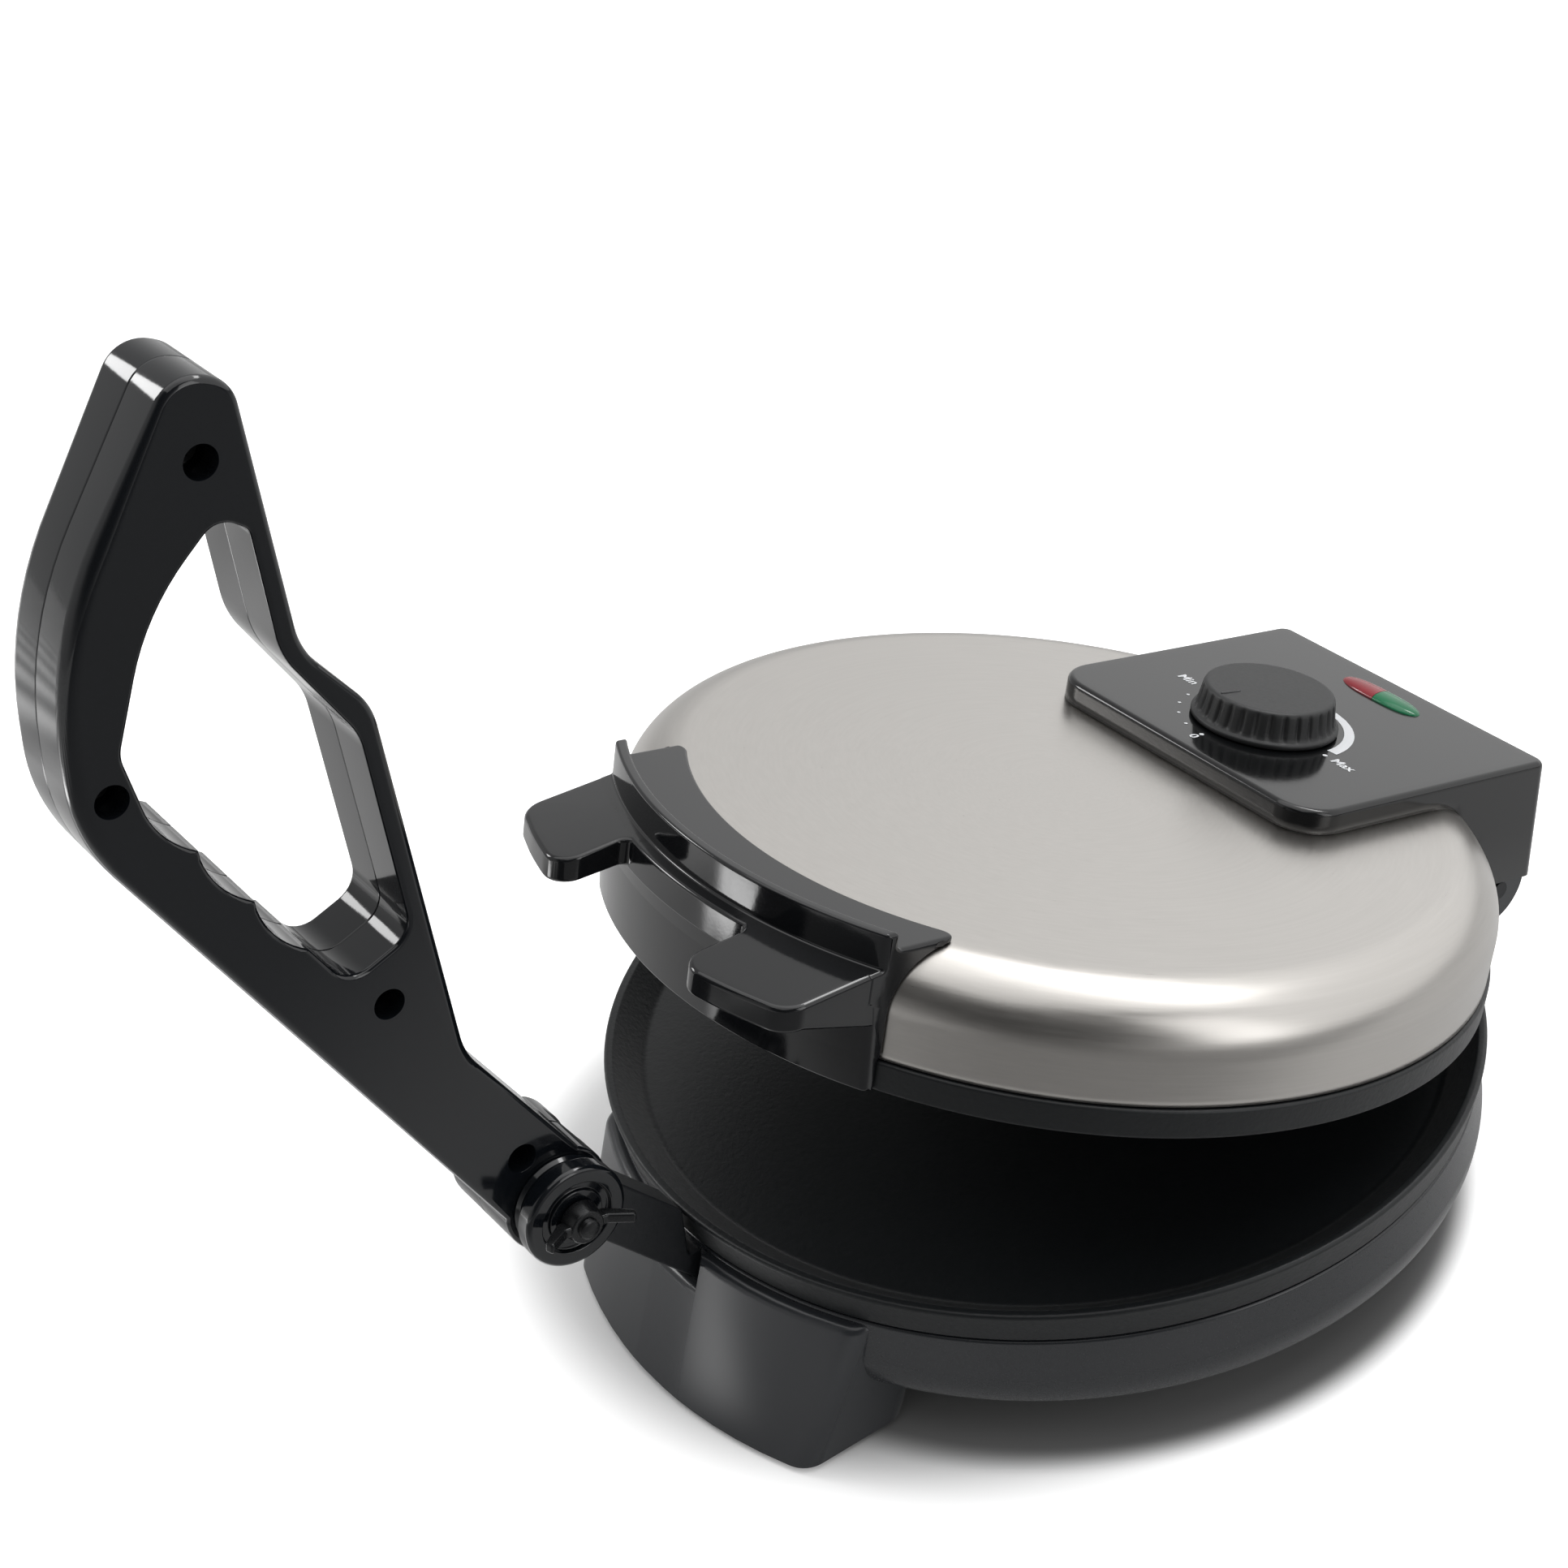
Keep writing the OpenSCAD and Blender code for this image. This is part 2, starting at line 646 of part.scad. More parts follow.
module lower_heat_shield() {
    color([0.7, 0.7, 0.72])
        translate([0, 0, plate_under_z - 2 * element_tube_r - 2 * fit_gap - shield_t])
            shield([for (i = [0:post_count - 1]) let (a = 45 + i * 360 / post_count)
                post_ring_r * [cos(a), sin(a)]], lower_shield_r);
}

// Terminal block on the bottom cover, and the gland where the power cord enters
module terminal_block() {
    h = 14;
    color([0.85, 0.83, 0.78]) translate([-22, 30, housing_z - fit_gap + 1.5 + fit_gap]) difference() {
        cube([44, 18, h]);
        for (i = [0:2]) translate([8 + 14 * i, -1, h / 2]) rotate([-90, 0, 0])
            cylinder(r = 2.6, h = 20, $fn = 24);
        for (i = [0:2]) for (y = [5, 13]) translate([8 + 14 * i, y, h / 2])
            cylinder(r = 2, h = h, $fn = 24);
    }
}

module gland_place() {
    rotate(gland_turn) translate([0, 0, gland_z]) rotate([0, 90, 0]) children();
}

module cord_gland() {
    color([0.08, 0.08, 0.08]) gland_place() difference() {
        union() {
            translate([0, 0, gland_seat - 17]) cylinder(r = gland_r, h = 17 + 1, $fn = 32);
            translate([0, 0, gland_seat + fit_gap]) cylinder(r = gland_r + 2.5, h = 2.5, $fn = 48);
            translate([0, 0, gland_seat + 2])
                cylinder(r1 = gland_r + 1, r2 = gland_r - 1.5, h = 8, $fn = 48);
            translate([0, 0, gland_seat - 15]) cylinder(r = gland_r + 3, h = 3.5, $fn = 6);
        }
        translate([0, 0, gland_seat - 18]) cylinder(r = 3.4, h = 40, $fn = 32);
    }
}

// Lever bracket: a cast plate with an eye at the top and a screwed foot inside the leg
module lever_bracket() {
    u = [cos(arm_slope), -sin(arm_slope)];
    n = [u.y, -u.x];
    hub = [-hub_y, hub_z];
    in_y = -plate_r - arm_gap;
    low = crest_z - band_h - 2.5;
    up_a = hub - n * arm_w / 2;
    dn_a = hub + n * arm_w / 2;
    up_b = up_a + u * (in_y - up_a.x) / u.x;
    foot_z = pedestal_z + fit_gap;
    dn_b = dn_a + u * (foot_z + foot_plate_t - dn_a.y) / u.y;
    color([0.15, 0.15, 0.16]) difference() {
        union() {
            translate([-arm_x, 0, 0]) rotate([90, 0, 90]) linear_extrude(2 * arm_x) {
                translate(hub) circle(r = eye_r, $fn = 64);
                polygon([up_a, dn_a, dn_b, [-pedestal_y1, foot_z + foot_plate_t],
                    [-pedestal_y1, foot_z + foot_plate_t + 6], [in_y + 4, low], [in_y, low], up_b]);
            }
            translate([-pedestal_x, -pedestal_y0, foot_z])
                cube([2 * pedestal_x, pedestal_y0 - pedestal_y1, foot_plate_t]);
        }
        bar_x(-arm_x - 1, arm_x + 1, -hub_y, hub_z, bolt_r + bush_play);
        for (x = [-bracket_screw_x, bracket_screw_x]) for (y = bracket_screw_y)
            translate([x, -y, foot_z - 1]) cylinder(r = screw_r + 0.1, h = foot_plate_t + 2, $fn = 24);
    }
}

module bracket_screws() {
    color([0.5, 0.5, 0.5]) for (x = [-bracket_screw_x, bracket_screw_x]) for (y = bracket_screw_y)
        translate([x, -y, pedestal_z + 2 * fit_gap + foot_plate_t]) screw(14, screw_r - 0.05);
}

// Pivot bolt: its head is on the -X side, its threaded end on the +X side
module pivot_bolt() {
    color([0.1, 0.1, 0.1]) {
        bar_x(-bolt_head_x, bolt_end_x, -hub_y, hub_z, bolt_r);
        bar_x(-bolt_head_x, -bolt_head_x + bolt_head_h, -hub_y, hub_z, bolt_head_r, 48);
    }
}

module hinge_pin() {
    color([0.75, 0.75, 0.77]) {
        bar_x(-barrel_x - 2, barrel_x + 4, hinge_y, hinge_z, pin_r);
        bar_x(-barrel_x - 2 - fit_gap, -barrel_x - fit_gap, hinge_y, hinge_z, pin_r + 2);
    }
}

module hinge_pin_clip() {
    color([0.6, 0.6, 0.62]) difference() {
        bar_x(barrel_x + fit_gap, barrel_x + fit_gap + 1.2, hinge_y, hinge_z, pin_r + 2);
        bar_x(barrel_x, barrel_x + 3, hinge_y, hinge_z, pin_r + 0.05);
        translate([barrel_x, hinge_y, hinge_z - 1.5]) cube([3, 20, 3]);
    }
}

// Steel cover: a pressed pan, open below, with a rounded shoulder
module cover_body(grow, low) {
    c = [cover_r - shoulder_r, cover_top_z - shoulder_r];
    rotate_extrude($fn = 160) polygon(concat([[0, low]], [[cover_r + grow, low]],
        arc(c, shoulder_r + grow, 0, 90, 10), [[0, cover_top_z + grow]]));
}

module lid_cover() {
    color([0.76, 0.75, 0.72]) lid_pose() difference() {
        cover_body(0, cover_z);
        cover_body(-cover_t, cover_z - 1);
        translate([0, dial_y, cover_top_z - 5]) cylinder(r = thermostat_r + 1, h = 10, $fn = 64);
        for (p = concat(box_posts, lid_posts)) translate([p.x, p.y, cover_top_z - 5])
            cylinder(r = screw_r + 0.1, h = 10, $fn = 24);
        for (x = [-hinge_screw_x, hinge_screw_x]) translate([x, hinge_block_y - 8, hinge_screw_z])
            rotate([-90, 0, 0]) cylinder(r = screw_r + 0.1, h = 60, $fn = 24);
        for (s = [-1, 1]) handle_screw_place(s) cylinder(r = screw_r + 0.1, h = 10, $fn = 24);
        translate([-6, cover_r - 8, cover_z + 12]) cube([12, 10, 6]);
    }
}

// Upper plate: a cast disc with an upright edge ring, posts and a block for the hinge
module upper_plate() {
    top = face_z + plate_t;
    in_r = ring_r - crest_w - slope_w - 1;
    color([0.12, 0.12, 0.13]) lid_pose() difference() {
        union() {
            rotate_extrude($fn = 160) polygon([
                [0, face_z], [in_r, face_z], [ring_r - crest_w - 1, ring_z], [ring_r - 0.6, ring_z],
                [ring_r, ring_z + 0.6], [ring_r, ring_top_z - 0.6], [ring_r - 0.6, ring_top_z],
                [ring_r - 3, ring_top_z], [ring_r - 3, ring_z + plate_t],
                [in_r, top], [0, top]]);
            for (p = lid_posts) translate([p.x, p.y, top - 1])
                cylinder(r = post_r, h = cover_top_z - cover_t - fit_gap - top + 1, $fn = 32);
            translate([-hinge_block_x, hinge_block_y, top - 1])
                cube([2 * hinge_block_x, hinge_block_d, hinge_screw_z + 6 - top]);
        }
        for (p = lid_posts) translate([p.x, p.y, cover_top_z - 14])
            cylinder(r = screw_r + 0.1, h = 20, $fn = 24);
        for (x = [-hinge_screw_x, hinge_screw_x]) translate([x, hinge_block_y + 3, hinge_screw_z])
            rotate([-90, 0, 0]) cylinder(r = screw_r + 0.1, h = 40, $fn = 24);
    }
}

module upper_plate_screws() {
    color([0.5, 0.5, 0.5]) lid_pose() for (p = lid_posts)
        translate([p.x, p.y, cover_top_z + fit_gap]) screw(12);
}

module upper_heating_element() {
    color([0.45, 0.42, 0.4]) lid_pose()
        translate([0, 0, face_z + plate_t + element_tube_r + fit_gap]) element(8);
}

module upper_heat_shield() {
    color([0.7, 0.7, 0.72]) lid_pose()
        translate([0, 0, face_z + plate_t + 2 * element_tube_r + 2 * fit_gap])
                shield(lid_posts, hinge_block_y - 2);
}

// Lid handle: a flap on the cover, a ridge, a skirt and two drooping tabs
module handle_screw_place(s) {
    rotate(-90 + s * handle_screw_turn) translate([cover_r - cover_t - 4, 0, handle_screw_z])
        rotate([0, 90, 0]) children();
}

function handle_inside() = concat(
    [[ring_r + 0.3, ring_z + 0.4], [ring_r + 0.3, ring_top_z + 0.8],
     [cover_r + 0.3, ring_top_z + 1.6]],
    arc([cover_r - shoulder_r, cover_top_z - shoulder_r], shoulder_r + 0.3, 0, 88, 10),
    [[flap_r, cover_top_z + 0.3]]);

module handle_spine() {
    flap_z = cover_top_z + flap_up;
    top = crest_z + ridge_z;
    in_r = ridge_r - ridge_t;
    rotate_extrude($fn = 200) polygon(concat(handle_inside(), [
        [flap_r, flap_z - 0.8], [flap_r + 0.8, flap_z], [in_r - 1.5, flap_z],
        [in_r, flap_z + 1.5], [in_r, top - 0.8], [in_r + 0.8, top], [ridge_r - 0.8, top],
        [ridge_r, top - 0.8], [ridge_r, crest_z + tab_root_z - 6], [ridge_r - 0.8, crest_z + 30],
        [ridge_r - 0.8, crest_z + 22], [skirt_r + 1, crest_z + 18.5],
        [skirt_r, crest_z + 12], [skirt_r, ring_z + 0.4]]));
}

module handle_tabs() {
    slope = (tab_root_z - tab_edge_z) / (tab_r - ridge_r);
    low = crest_z + tab_edge_z - tab_t;
    rotate_extrude($fn = 200) polygon([
        [ridge_r - 2, crest_z + tab_root_z + 2 * slope + 1],
        [tab_r - 2, crest_z + tab_edge_z + 2 * slope], [tab_r, crest_z + tab_edge_z - 1.5],
        [tab_r, low + 2], [tab_r - 2, low], [skirt_r + 10, low], [skirt_r + 4, low - 1.5],
        [skirt_r + 1, low - 6], [ridge_r - 2, low - 14]]);
}

// Plan of one tab, from y = -100 outwards, with rounded outer corners
function tab_plan(s) =
    let (x0 = tab_gap_x, x1 = handle_x - 1, xm = (x0 + x1) / 2,
         at = function(x, r) [x, -sqrt(tab_r * tab_r - x * x), r])
    [for (p = rounded([at(x0, 7), at(xm, 40), at(x1, 7), [x1, -100, 0], [x0, -100, 0]]))
        [s * p.x, p.y]];

module lid_handle() {
    color([0.13, 0.13, 0.14]) lid_pose() difference() {
        union() {
            intersection() {
                handle_spine();
                translate([-handle_x, -200, 0]) cube([2 * handle_x, 120, 200]);
            }
            intersection() {
                handle_tabs();
                linear_extrude(200) union() {
                    polygon(tab_plan(1));
                    polygon(tab_plan(-1));
                }
            }
        }
        for (s = [-1, 1]) handle_screw_place(s) cylinder(r = screw_r, h = 8, $fn = 24);
    }
}

module lid_handle_screws() {
    color([0.5, 0.5, 0.5]) lid_pose() for (s = [-1, 1]) handle_screw_place(s)
        translate([0, 0, 4 - fit_gap]) mirror([0, 0, 1]) screw(3.6, screw_r - 0.05);
}

// Control box: a shallow hood over the back of the lid, down behind it to the barrel
function box_plan(rear) = rounded([
    [-box_x, box_front, box_corner], [box_x, box_front, box_corner],
    [box_x, rear, box_rear_corner], [-box_x, rear, box_rear_corner]]);

module box_shape(d, low, top) {
    v = box_plan(box_rear);
    foot = box_plan(box_rear + box_lean);
    loft([[inset(foot, d), low], [inset(v, d), top - (d > 0 ? eps : box_bevel)],
          [inset(v, d > 0 ? d + 0.01 : box_bevel), top]]);
}

module lens_plan(grow) {
    r = (lens_x * lens_x + lens_w * lens_w) / (2 * lens_w);
    intersection() {
        translate([0, r - lens_w]) circle(r = r + grow, $fn = 180);
        translate([0, lens_w - r]) circle(r = r + grow, $fn = 180);
    }
}

module control_box() {
    arch = barrel_r + 0.4;
    ceiling = box_top_z - box_wall;
    color([0.3, 0.3, 0.31]) lid_pose() difference() {
        union() {
            difference() {
                box_shape(0, box_foot_z, box_top_z);
                difference() {
                    box_shape(box_wall, box_foot_z + box_wall, ceiling);
                    bar_x(-barrel_x - 1 - box_wall, barrel_x + 1 + box_wall, hinge_y, hinge_z,
                        arch + box_wall, 64);
                }
            }
            for (p = box_posts) translate([p.x, p.y, cover_top_z])
                cylinder(r = post_r, h = ceiling + 1 - cover_top_z, $fn = 32);
        }
        cover_body(fit_gap, box_foot_z - 40);
        cylinder(r = ring_r + fit_gap, h = ring_top_z + fit_gap, $fn = 160);
        bar_x(-barrel_x - 1, barrel_x + 1, hinge_y, hinge_z, arch, 64);
        translate([-web_x - 0.5, web_y - 0.5, hinge_z])
            cube([2 * web_x + 1, web_t + 1, web_top_z - hinge_z + 1]);
        translate([0, dial_y, ceiling - 1]) cylinder(r = shaft_r + shaft_play, h = 10, $fn = 48);
        translate([0, lens_y, ceiling - 1]) linear_extrude(10) lens_plan(0.1);
        for (p = box_posts) translate([p.x, p.y, cover_top_z])
            cylinder(r = screw_r, h = box_top_z - 1.2 - cover_top_z, $fn = 24);
    }
}

module control_box_screws() {
    color([0.5, 0.5, 0.5]) lid_pose() for (p = box_posts)
        translate([p.x, p.y, cover_top_z - cover_t - fit_gap]) mirror([0, 0, 1])
            screw(7, screw_r - 0.05);
}

// Hinge bracket of the lid: two knuckles and an upright web behind the cover
module lid_hinge_bracket() {
    color([0.55, 0.55, 0.57]) lid_pose() difference() {
        union() {
            for (s = [-1, 1])
                bar_x(s > 0 ? knuckle_x : -knuckle_x - knuckle_w,
                    s > 0 ? knuckle_x + knuckle_w : -knuckle_x, hinge_y, hinge_z, knuckle_r);
            for (s = [-1, 1])
                translate([s > 0 ? knuckle_x : -knuckle_x - knuckle_w, web_y, hinge_z])
                    cube([knuckle_w, web_t, web_top_z - hinge_z]);
            translate([-web_x, web_y, hinge_z + knuckle_r + 2])
                cube([2 * web_x, web_t, web_top_z - hinge_z - knuckle_r - 2]);
        }
        bar_x(-bay_x, bay_x, hinge_y, hinge_z, pin_r + pin_play);
        for (x = [-hinge_screw_x, hinge_screw_x]) translate([x, web_y - 19, hinge_screw_z])
            rotate([-90, 0, 0]) cylinder(r = screw_r + 0.1, h = 40, $fn = 24);
    }
}

module lid_hinge_screws() {
    color([0.5, 0.5, 0.5]) lid_pose() for (x = [-hinge_screw_x, hinge_screw_x])
        translate([x, web_y + web_t + fit_gap, hinge_screw_z]) rotate([-90, 0, 0])
            screw(web_y + web_t - hinge_block_y - 8);
}

module hinge_washers() {
    color([0.85, 0.85, 0.86]) for (s = [-1, 1]) difference() {
        bar_x(s > 0 ? bay_x - washer_t - fit_gap / 2 : -bay_x + fit_gap / 2,
            s > 0 ? bay_x - fit_gap / 2 : -bay_x + fit_gap / 2 + washer_t, hinge_y, hinge_z, knuckle_r);
        bar_x(-bay_x - 1, bay_x + 1, hinge_y, hinge_z, pin_r + 0.1);
    }
}

// Thermostat, lamps and lens
module thermostat_body() {
    top = box_top_z - box_wall - fit_gap;
    color([0.8, 0.78, 0.72]) lid_pose() translate([0, dial_y, 0]) difference() {
        union() {
            translate([0, 0, top - thermostat_h])
                cylinder(r = thermostat_r, h = thermostat_h - 2, $fn = 64);
            translate([0, 0, top - thermostat_h]) cylinder(r = 7, h = thermostat_h, $fn = 48);
        }
        translate([0, 0, top - 10]) cylinder(r = shaft_r + shaft_play, h = 12, $fn = 48);
    }
}

module thermal_fuse() {
    z = face_z + plate_t + 3 + fit_gap;
    color([0.9, 0.88, 0.82]) lid_pose() {
        bar_x(-9, 9, -40, z, 2.6, 24);
        translate([-3, -43, face_z + plate_t + fit_gap]) cube([6, 6, 3]);
    }
}

lens_flange_t = 1;
lens_under_z = box_top_z - box_wall - fit_gap - lens_flange_t;

module neon_lamps() {
    color([0.95, 0.75, 0.6]) lid_pose() for (s = [-1, 1])
        bar_x(s > 0 ? 3 : -13, s > 0 ? 13 : -3, lens_y, lens_under_z - 2.5 - fit_gap, 2.5, 24);
}

module lens_half(s) {
    rise = lens_w * lens_w / (2 * lens_dome);
    lid_pose() difference() {
        union() {
            intersection() {
                translate([0, lens_y, lens_under_z]) linear_extrude(20) lens_plan(0);
                bar_x(-40, 40, lens_y, box_top_z + lens_up - lens_dome, lens_dome, 180);
            }
            translate([0, lens_y, lens_under_z]) linear_extrude(lens_flange_t) lens_plan(1.5);
        }
        translate([s > 0 ? -60 : -0.1, lens_y - 20, box_top_z - 30]) cube([60.1, 40, 60]);
    }
}

module red_lens() { color([0.75, 0.25, 0.25]) lens_half(-1); }

module green_lens() { color([0.1, 0.6, 0.4]) lens_half(1); }

module thermostat_shaft() {
    color([0.8, 0.8, 0.8]) lid_pose() translate([0, dial_y, box_top_z - box_wall - fit_gap - 9])
        cylinder(r = shaft_r, h = shaft_top_z - box_top_z + box_wall + fit_gap + 9, $fn = 48);
}

module thermostat_knob() {
    low = box_top_z + knob_gap;
    color([0.2, 0.2, 0.2]) lid_pose() translate([0, dial_y, low]) difference() {
        rotate_extrude($fn = 120) polygon([
            [shaft_r + 0.05, 0], [knob_flange_r, 0], [knob_flange_r, knob_flange_h - 0.8],
            [knob_r + 0.6, knob_flange_h],
            [knob_top_r + 0.5, knob_h - 0.8], [knob_top_r - 0.5, knob_h], [0, knob_h],
            [0, knob_h - 3 - knob_gap + 0.1], [shaft_r + 0.05, knob_h - 3 - knob_gap + 0.1]]);
        around(knob_flutes, knob_r + 1.2) translate([0, 0, knob_flange_h + 0.4])
            cylinder(r = flute_r, h = knob_h, $fn = 16);
        translate([-0.6, -knob_top_r + 4, knob_h - 0.6]) cube([1.2, 7, 1]);
    }
}

// Lever: two half shells that meet at x = 0, drawn with x along the lever
lever_outline = rounded([[2, -14.5, 4], [183, -65.5, 45], [228, -49, 25], [273, 2, 6],
    [263, 13.8, 7], [194, 1.6, 18], [170, 11.6, 16], [62, -5, 25], [4, 13.5, 4]]);
// Grip opening: its outer side is a row of finger grooves, arcs on a sloping line
groove_pitch = 22.4;
groove_r = 24.6;
groove_slope = -16.1;
grip_outline = rounded(concat([[104, -24.2, 8]],
    [for (i = [0:2]) each [for (k = [0:5])
        let (half = asin(groove_pitch / 2 / groove_r), a = groove_slope - 90 - half + half * k / 3,
             c = [137, -11] + i * groove_pitch * [cos(groove_slope), sin(groove_slope)])
        [c.x + groove_r * cos(a), c.y + groove_r * sin(a), 0]]],
    [[197, -47, 9], [224, -26, 18], [236, -3, 6], [229, 2.6, 3], [196, -3.6, 20],
     [165, 5.4, 18], [106, -4, 8]]));
lever_screw_at = [[250.4, -0.9], [188.4, -53.6], [91.6, -17.4], [20.6, -4]];

module lever_half(left) {
    slot = concat([[0, 0]], arc([0, 0], hub_r + 14, slot_from, slot_to, 8));
    deep = lever_x - lever_wall;
    difference() {
        union() {
            difference() {
                union() {
                    soft_slab(lever_outline, lever_x, lever_edge);
                    rotate_extrude($fn = 96) polygon([[0, barrel_in], [hub_r, barrel_in],
                        [hub_r, lever_x - barrel_under - 1], [hub_r - 1, lever_x - barrel_under],
                        [0, lever_x - barrel_under]]);
                }
                difference() {
                    translate([0, 0, -1]) linear_extrude(deep + 1)
                        polygon(inset(lever_outline, lever_wall));
                    translate([0, 0, -1]) linear_extrude(deep + 2)
                        polygon(inset(grip_outline, -lever_wall));
                    translate([0, 0, -1]) cylinder(r = hub_r, h = deep + 2, $fn = 96);
                }
            }
            for (p = lever_screw_at) translate([p.x, p.y, fit_gap / 2])
                cylinder(r = well_r + 1.6, h = deep, $fn = 32);
        }
        translate([0, 0, -1]) linear_extrude(lever_x + 2) polygon(grip_outline);
        // pocket and slot for the bracket's eye and arm
        translate([0, 0, -1]) cylinder(r = eye_r + 0.6, h = arm_x + eye_play + 1, $fn = 64);
        translate([0, 0, -1]) linear_extrude(arm_x + eye_play + 1) polygon(slot);
        translate([0, 0, -1]) cylinder(r = bush_r + 0.05, h = lever_x + 2, $fn = 48);
        for (p = lever_screw_at) translate([p.x, p.y, 0]) {
            translate([0, 0, -1]) cylinder(r = screw_r + 0.1, h = left ? 12 : lever_x + 1, $fn = 24);
            if (!left) translate([0, 0, well_floor]) cylinder(r = well_r, h = lever_x, $fn = 32);
        }
        translate([-60, -120, -2]) cube([400, 240, 2 + fit_gap / 2]);
    }
}

module lever_shell_left() {
    color([0.1, 0.1, 0.11]) lever_pose() lever_half(true);
}

module lever_shell_right() {
    color([0.1, 0.1, 0.11]) lever_pose() mirror([0, 0, 1]) lever_half(false);
}

module lever_screws() {
    color([0.6, 0.6, 0.6]) lever_pose() for (p = lever_screw_at)
        translate([p.x, p.y, -well_floor - fit_gap]) mirror([0, 0, 1]) screw(12, screw_r - 0.05);
}

// Turned pieces on the pivot: drawn with z along +X
module pivot_pose() {
    translate([0, -hub_y, hub_z]) rotate([0, 90, 0]) children();
}

module hub_cap() {
    x0 = lever_x + fit_gap;
    color([0.12, 0.12, 0.13]) pivot_pose() rotate_extrude($fn = 96) polygon([
        [bush_r + 0.2, x0], [cap_r - 1.2, x0], [cap_r - 2.2, x0 + 1.6], [cap_r - 1.6, x0 + 3.4],
        [cap_r, x0 + 4.6], [cap_r, cap_x - 0.8], [cap_r - 0.8, cap_x], [cap_groove_r + 1.1, cap_x],
        [cap_groove_r + 1.1, cap_x - 1.4], [cap_groove_r - 1.1, cap_x - 1.4],
        [cap_groove_r - 1.1, cap_x - 0.6], [bolt_r + 0.4, cap_x - 0.6], [bolt_r + 0.4, cap_x - 3],
        [bush_r + 0.2, cap_x - 3]]);
}

module pivot_bush() {
    color([0.75, 0.65, 0.4]) pivot_pose() for (s = [-1, 1]) rotate_extrude($fn = 48)
        polygon([for (p = [[bolt_r + bush_play, arm_x + eye_play - 0.3], [bush_r, arm_x + eye_play - 0.3],
            [bush_r, s > 0 ? cap_x - 3 - fit_gap : lever_x],
            [bolt_r + bush_play, s > 0 ? cap_x - 3 - fit_gap : lever_x]]) [p.x, s * p.y]]);
}

module pivot_washer() {
    color([0.7, 0.7, 0.72]) pivot_pose() rotate_extrude($fn = 64) polygon([
        [bolt_r + 0.1, -lever_x - fit_gap], [9, -lever_x - fit_gap],
        [9, -lever_x - fit_gap - 1], [bolt_r + 0.1, -lever_x - fit_gap - 1]]);
}

// Wing nut: a round hub with two flared wings
module wing_nut() {
    z0 = cap_x + 0.3;
    color([0.1, 0.1, 0.1]) pivot_pose() difference() {
        union() {
            translate([0, 0, z0]) cylinder(r1 = 6, r2 = 5, h = wing_h, $fn = 48);
            rotate(wing_turn) rotate([90, 0, 0]) translate([0, 0, -wing_t / 2])
                linear_extrude(wing_t) polygon(rounded([
                    [-7, z0 + 1, 2], [7, z0 + 1, 2], [13.5, z0 + 5.5, 1.5], [12.5, z0 + wing_h + 3, 1],
                    [8, z0 + wing_h - 0.5, 2], [-8, z0 + wing_h - 0.5, 2],
                    [-12.5, z0 + wing_h + 3, 1], [-13.5, z0 + 5.5, 1.5]]));
        }
        translate([0, 0, z0 - 1]) cylinder(r = bolt_r + bush_play, h = 20, $fn = 48);
    }
}

lower_housing();
front_leg();
rear_leg();
bottom_cover();
bottom_cover_screws();
rubber_feet();
leg_screws();
lower_plate();
lower_plate_screws();
lower_heating_element();
lower_heat_shield();
terminal_block();
cord_gland();
lever_bracket();
bracket_screws();
pivot_bolt();
hinge_pin();
hinge_pin_clip();
lid_cover();
upper_plate();
upper_plate_screws();
upper_heating_element();
upper_heat_shield();
lid_handle();
lid_handle_screws();
control_box();
control_box_screws();
lid_hinge_bracket();
lid_hinge_screws();
hinge_washers();
thermostat_body();
thermal_fuse();
neon_lamps();
red_lens();
green_lens();
thermostat_shaft();
thermostat_knob();
lever_shell_right();
lever_shell_left();
lever_screws();
hub_cap();
pivot_bush();
pivot_washer();
wing_nut();
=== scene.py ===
from math import acos, asin, cos, radians, sin, sqrt

import bmesh
import bpy
import numpy as np
from mathutils import Matrix, Vector, geometry


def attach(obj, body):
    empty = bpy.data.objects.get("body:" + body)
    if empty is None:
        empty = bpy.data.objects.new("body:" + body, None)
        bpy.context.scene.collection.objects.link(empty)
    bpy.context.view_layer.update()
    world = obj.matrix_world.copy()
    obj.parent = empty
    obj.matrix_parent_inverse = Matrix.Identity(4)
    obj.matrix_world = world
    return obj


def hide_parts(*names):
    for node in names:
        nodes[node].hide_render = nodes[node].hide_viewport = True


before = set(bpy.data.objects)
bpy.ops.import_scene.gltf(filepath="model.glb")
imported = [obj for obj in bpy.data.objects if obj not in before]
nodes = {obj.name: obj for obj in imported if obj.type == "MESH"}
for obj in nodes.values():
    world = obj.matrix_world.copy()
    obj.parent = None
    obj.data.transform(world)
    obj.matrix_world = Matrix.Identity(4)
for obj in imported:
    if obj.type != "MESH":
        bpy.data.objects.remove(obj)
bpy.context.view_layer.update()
print("frame loaded with", len(nodes), "nodes")

hinge = {"y": 148, "z": 60, "openAngle": 14.5}
pivot = {"y": -179.2, "z": 98.5, "lean": 12.4}


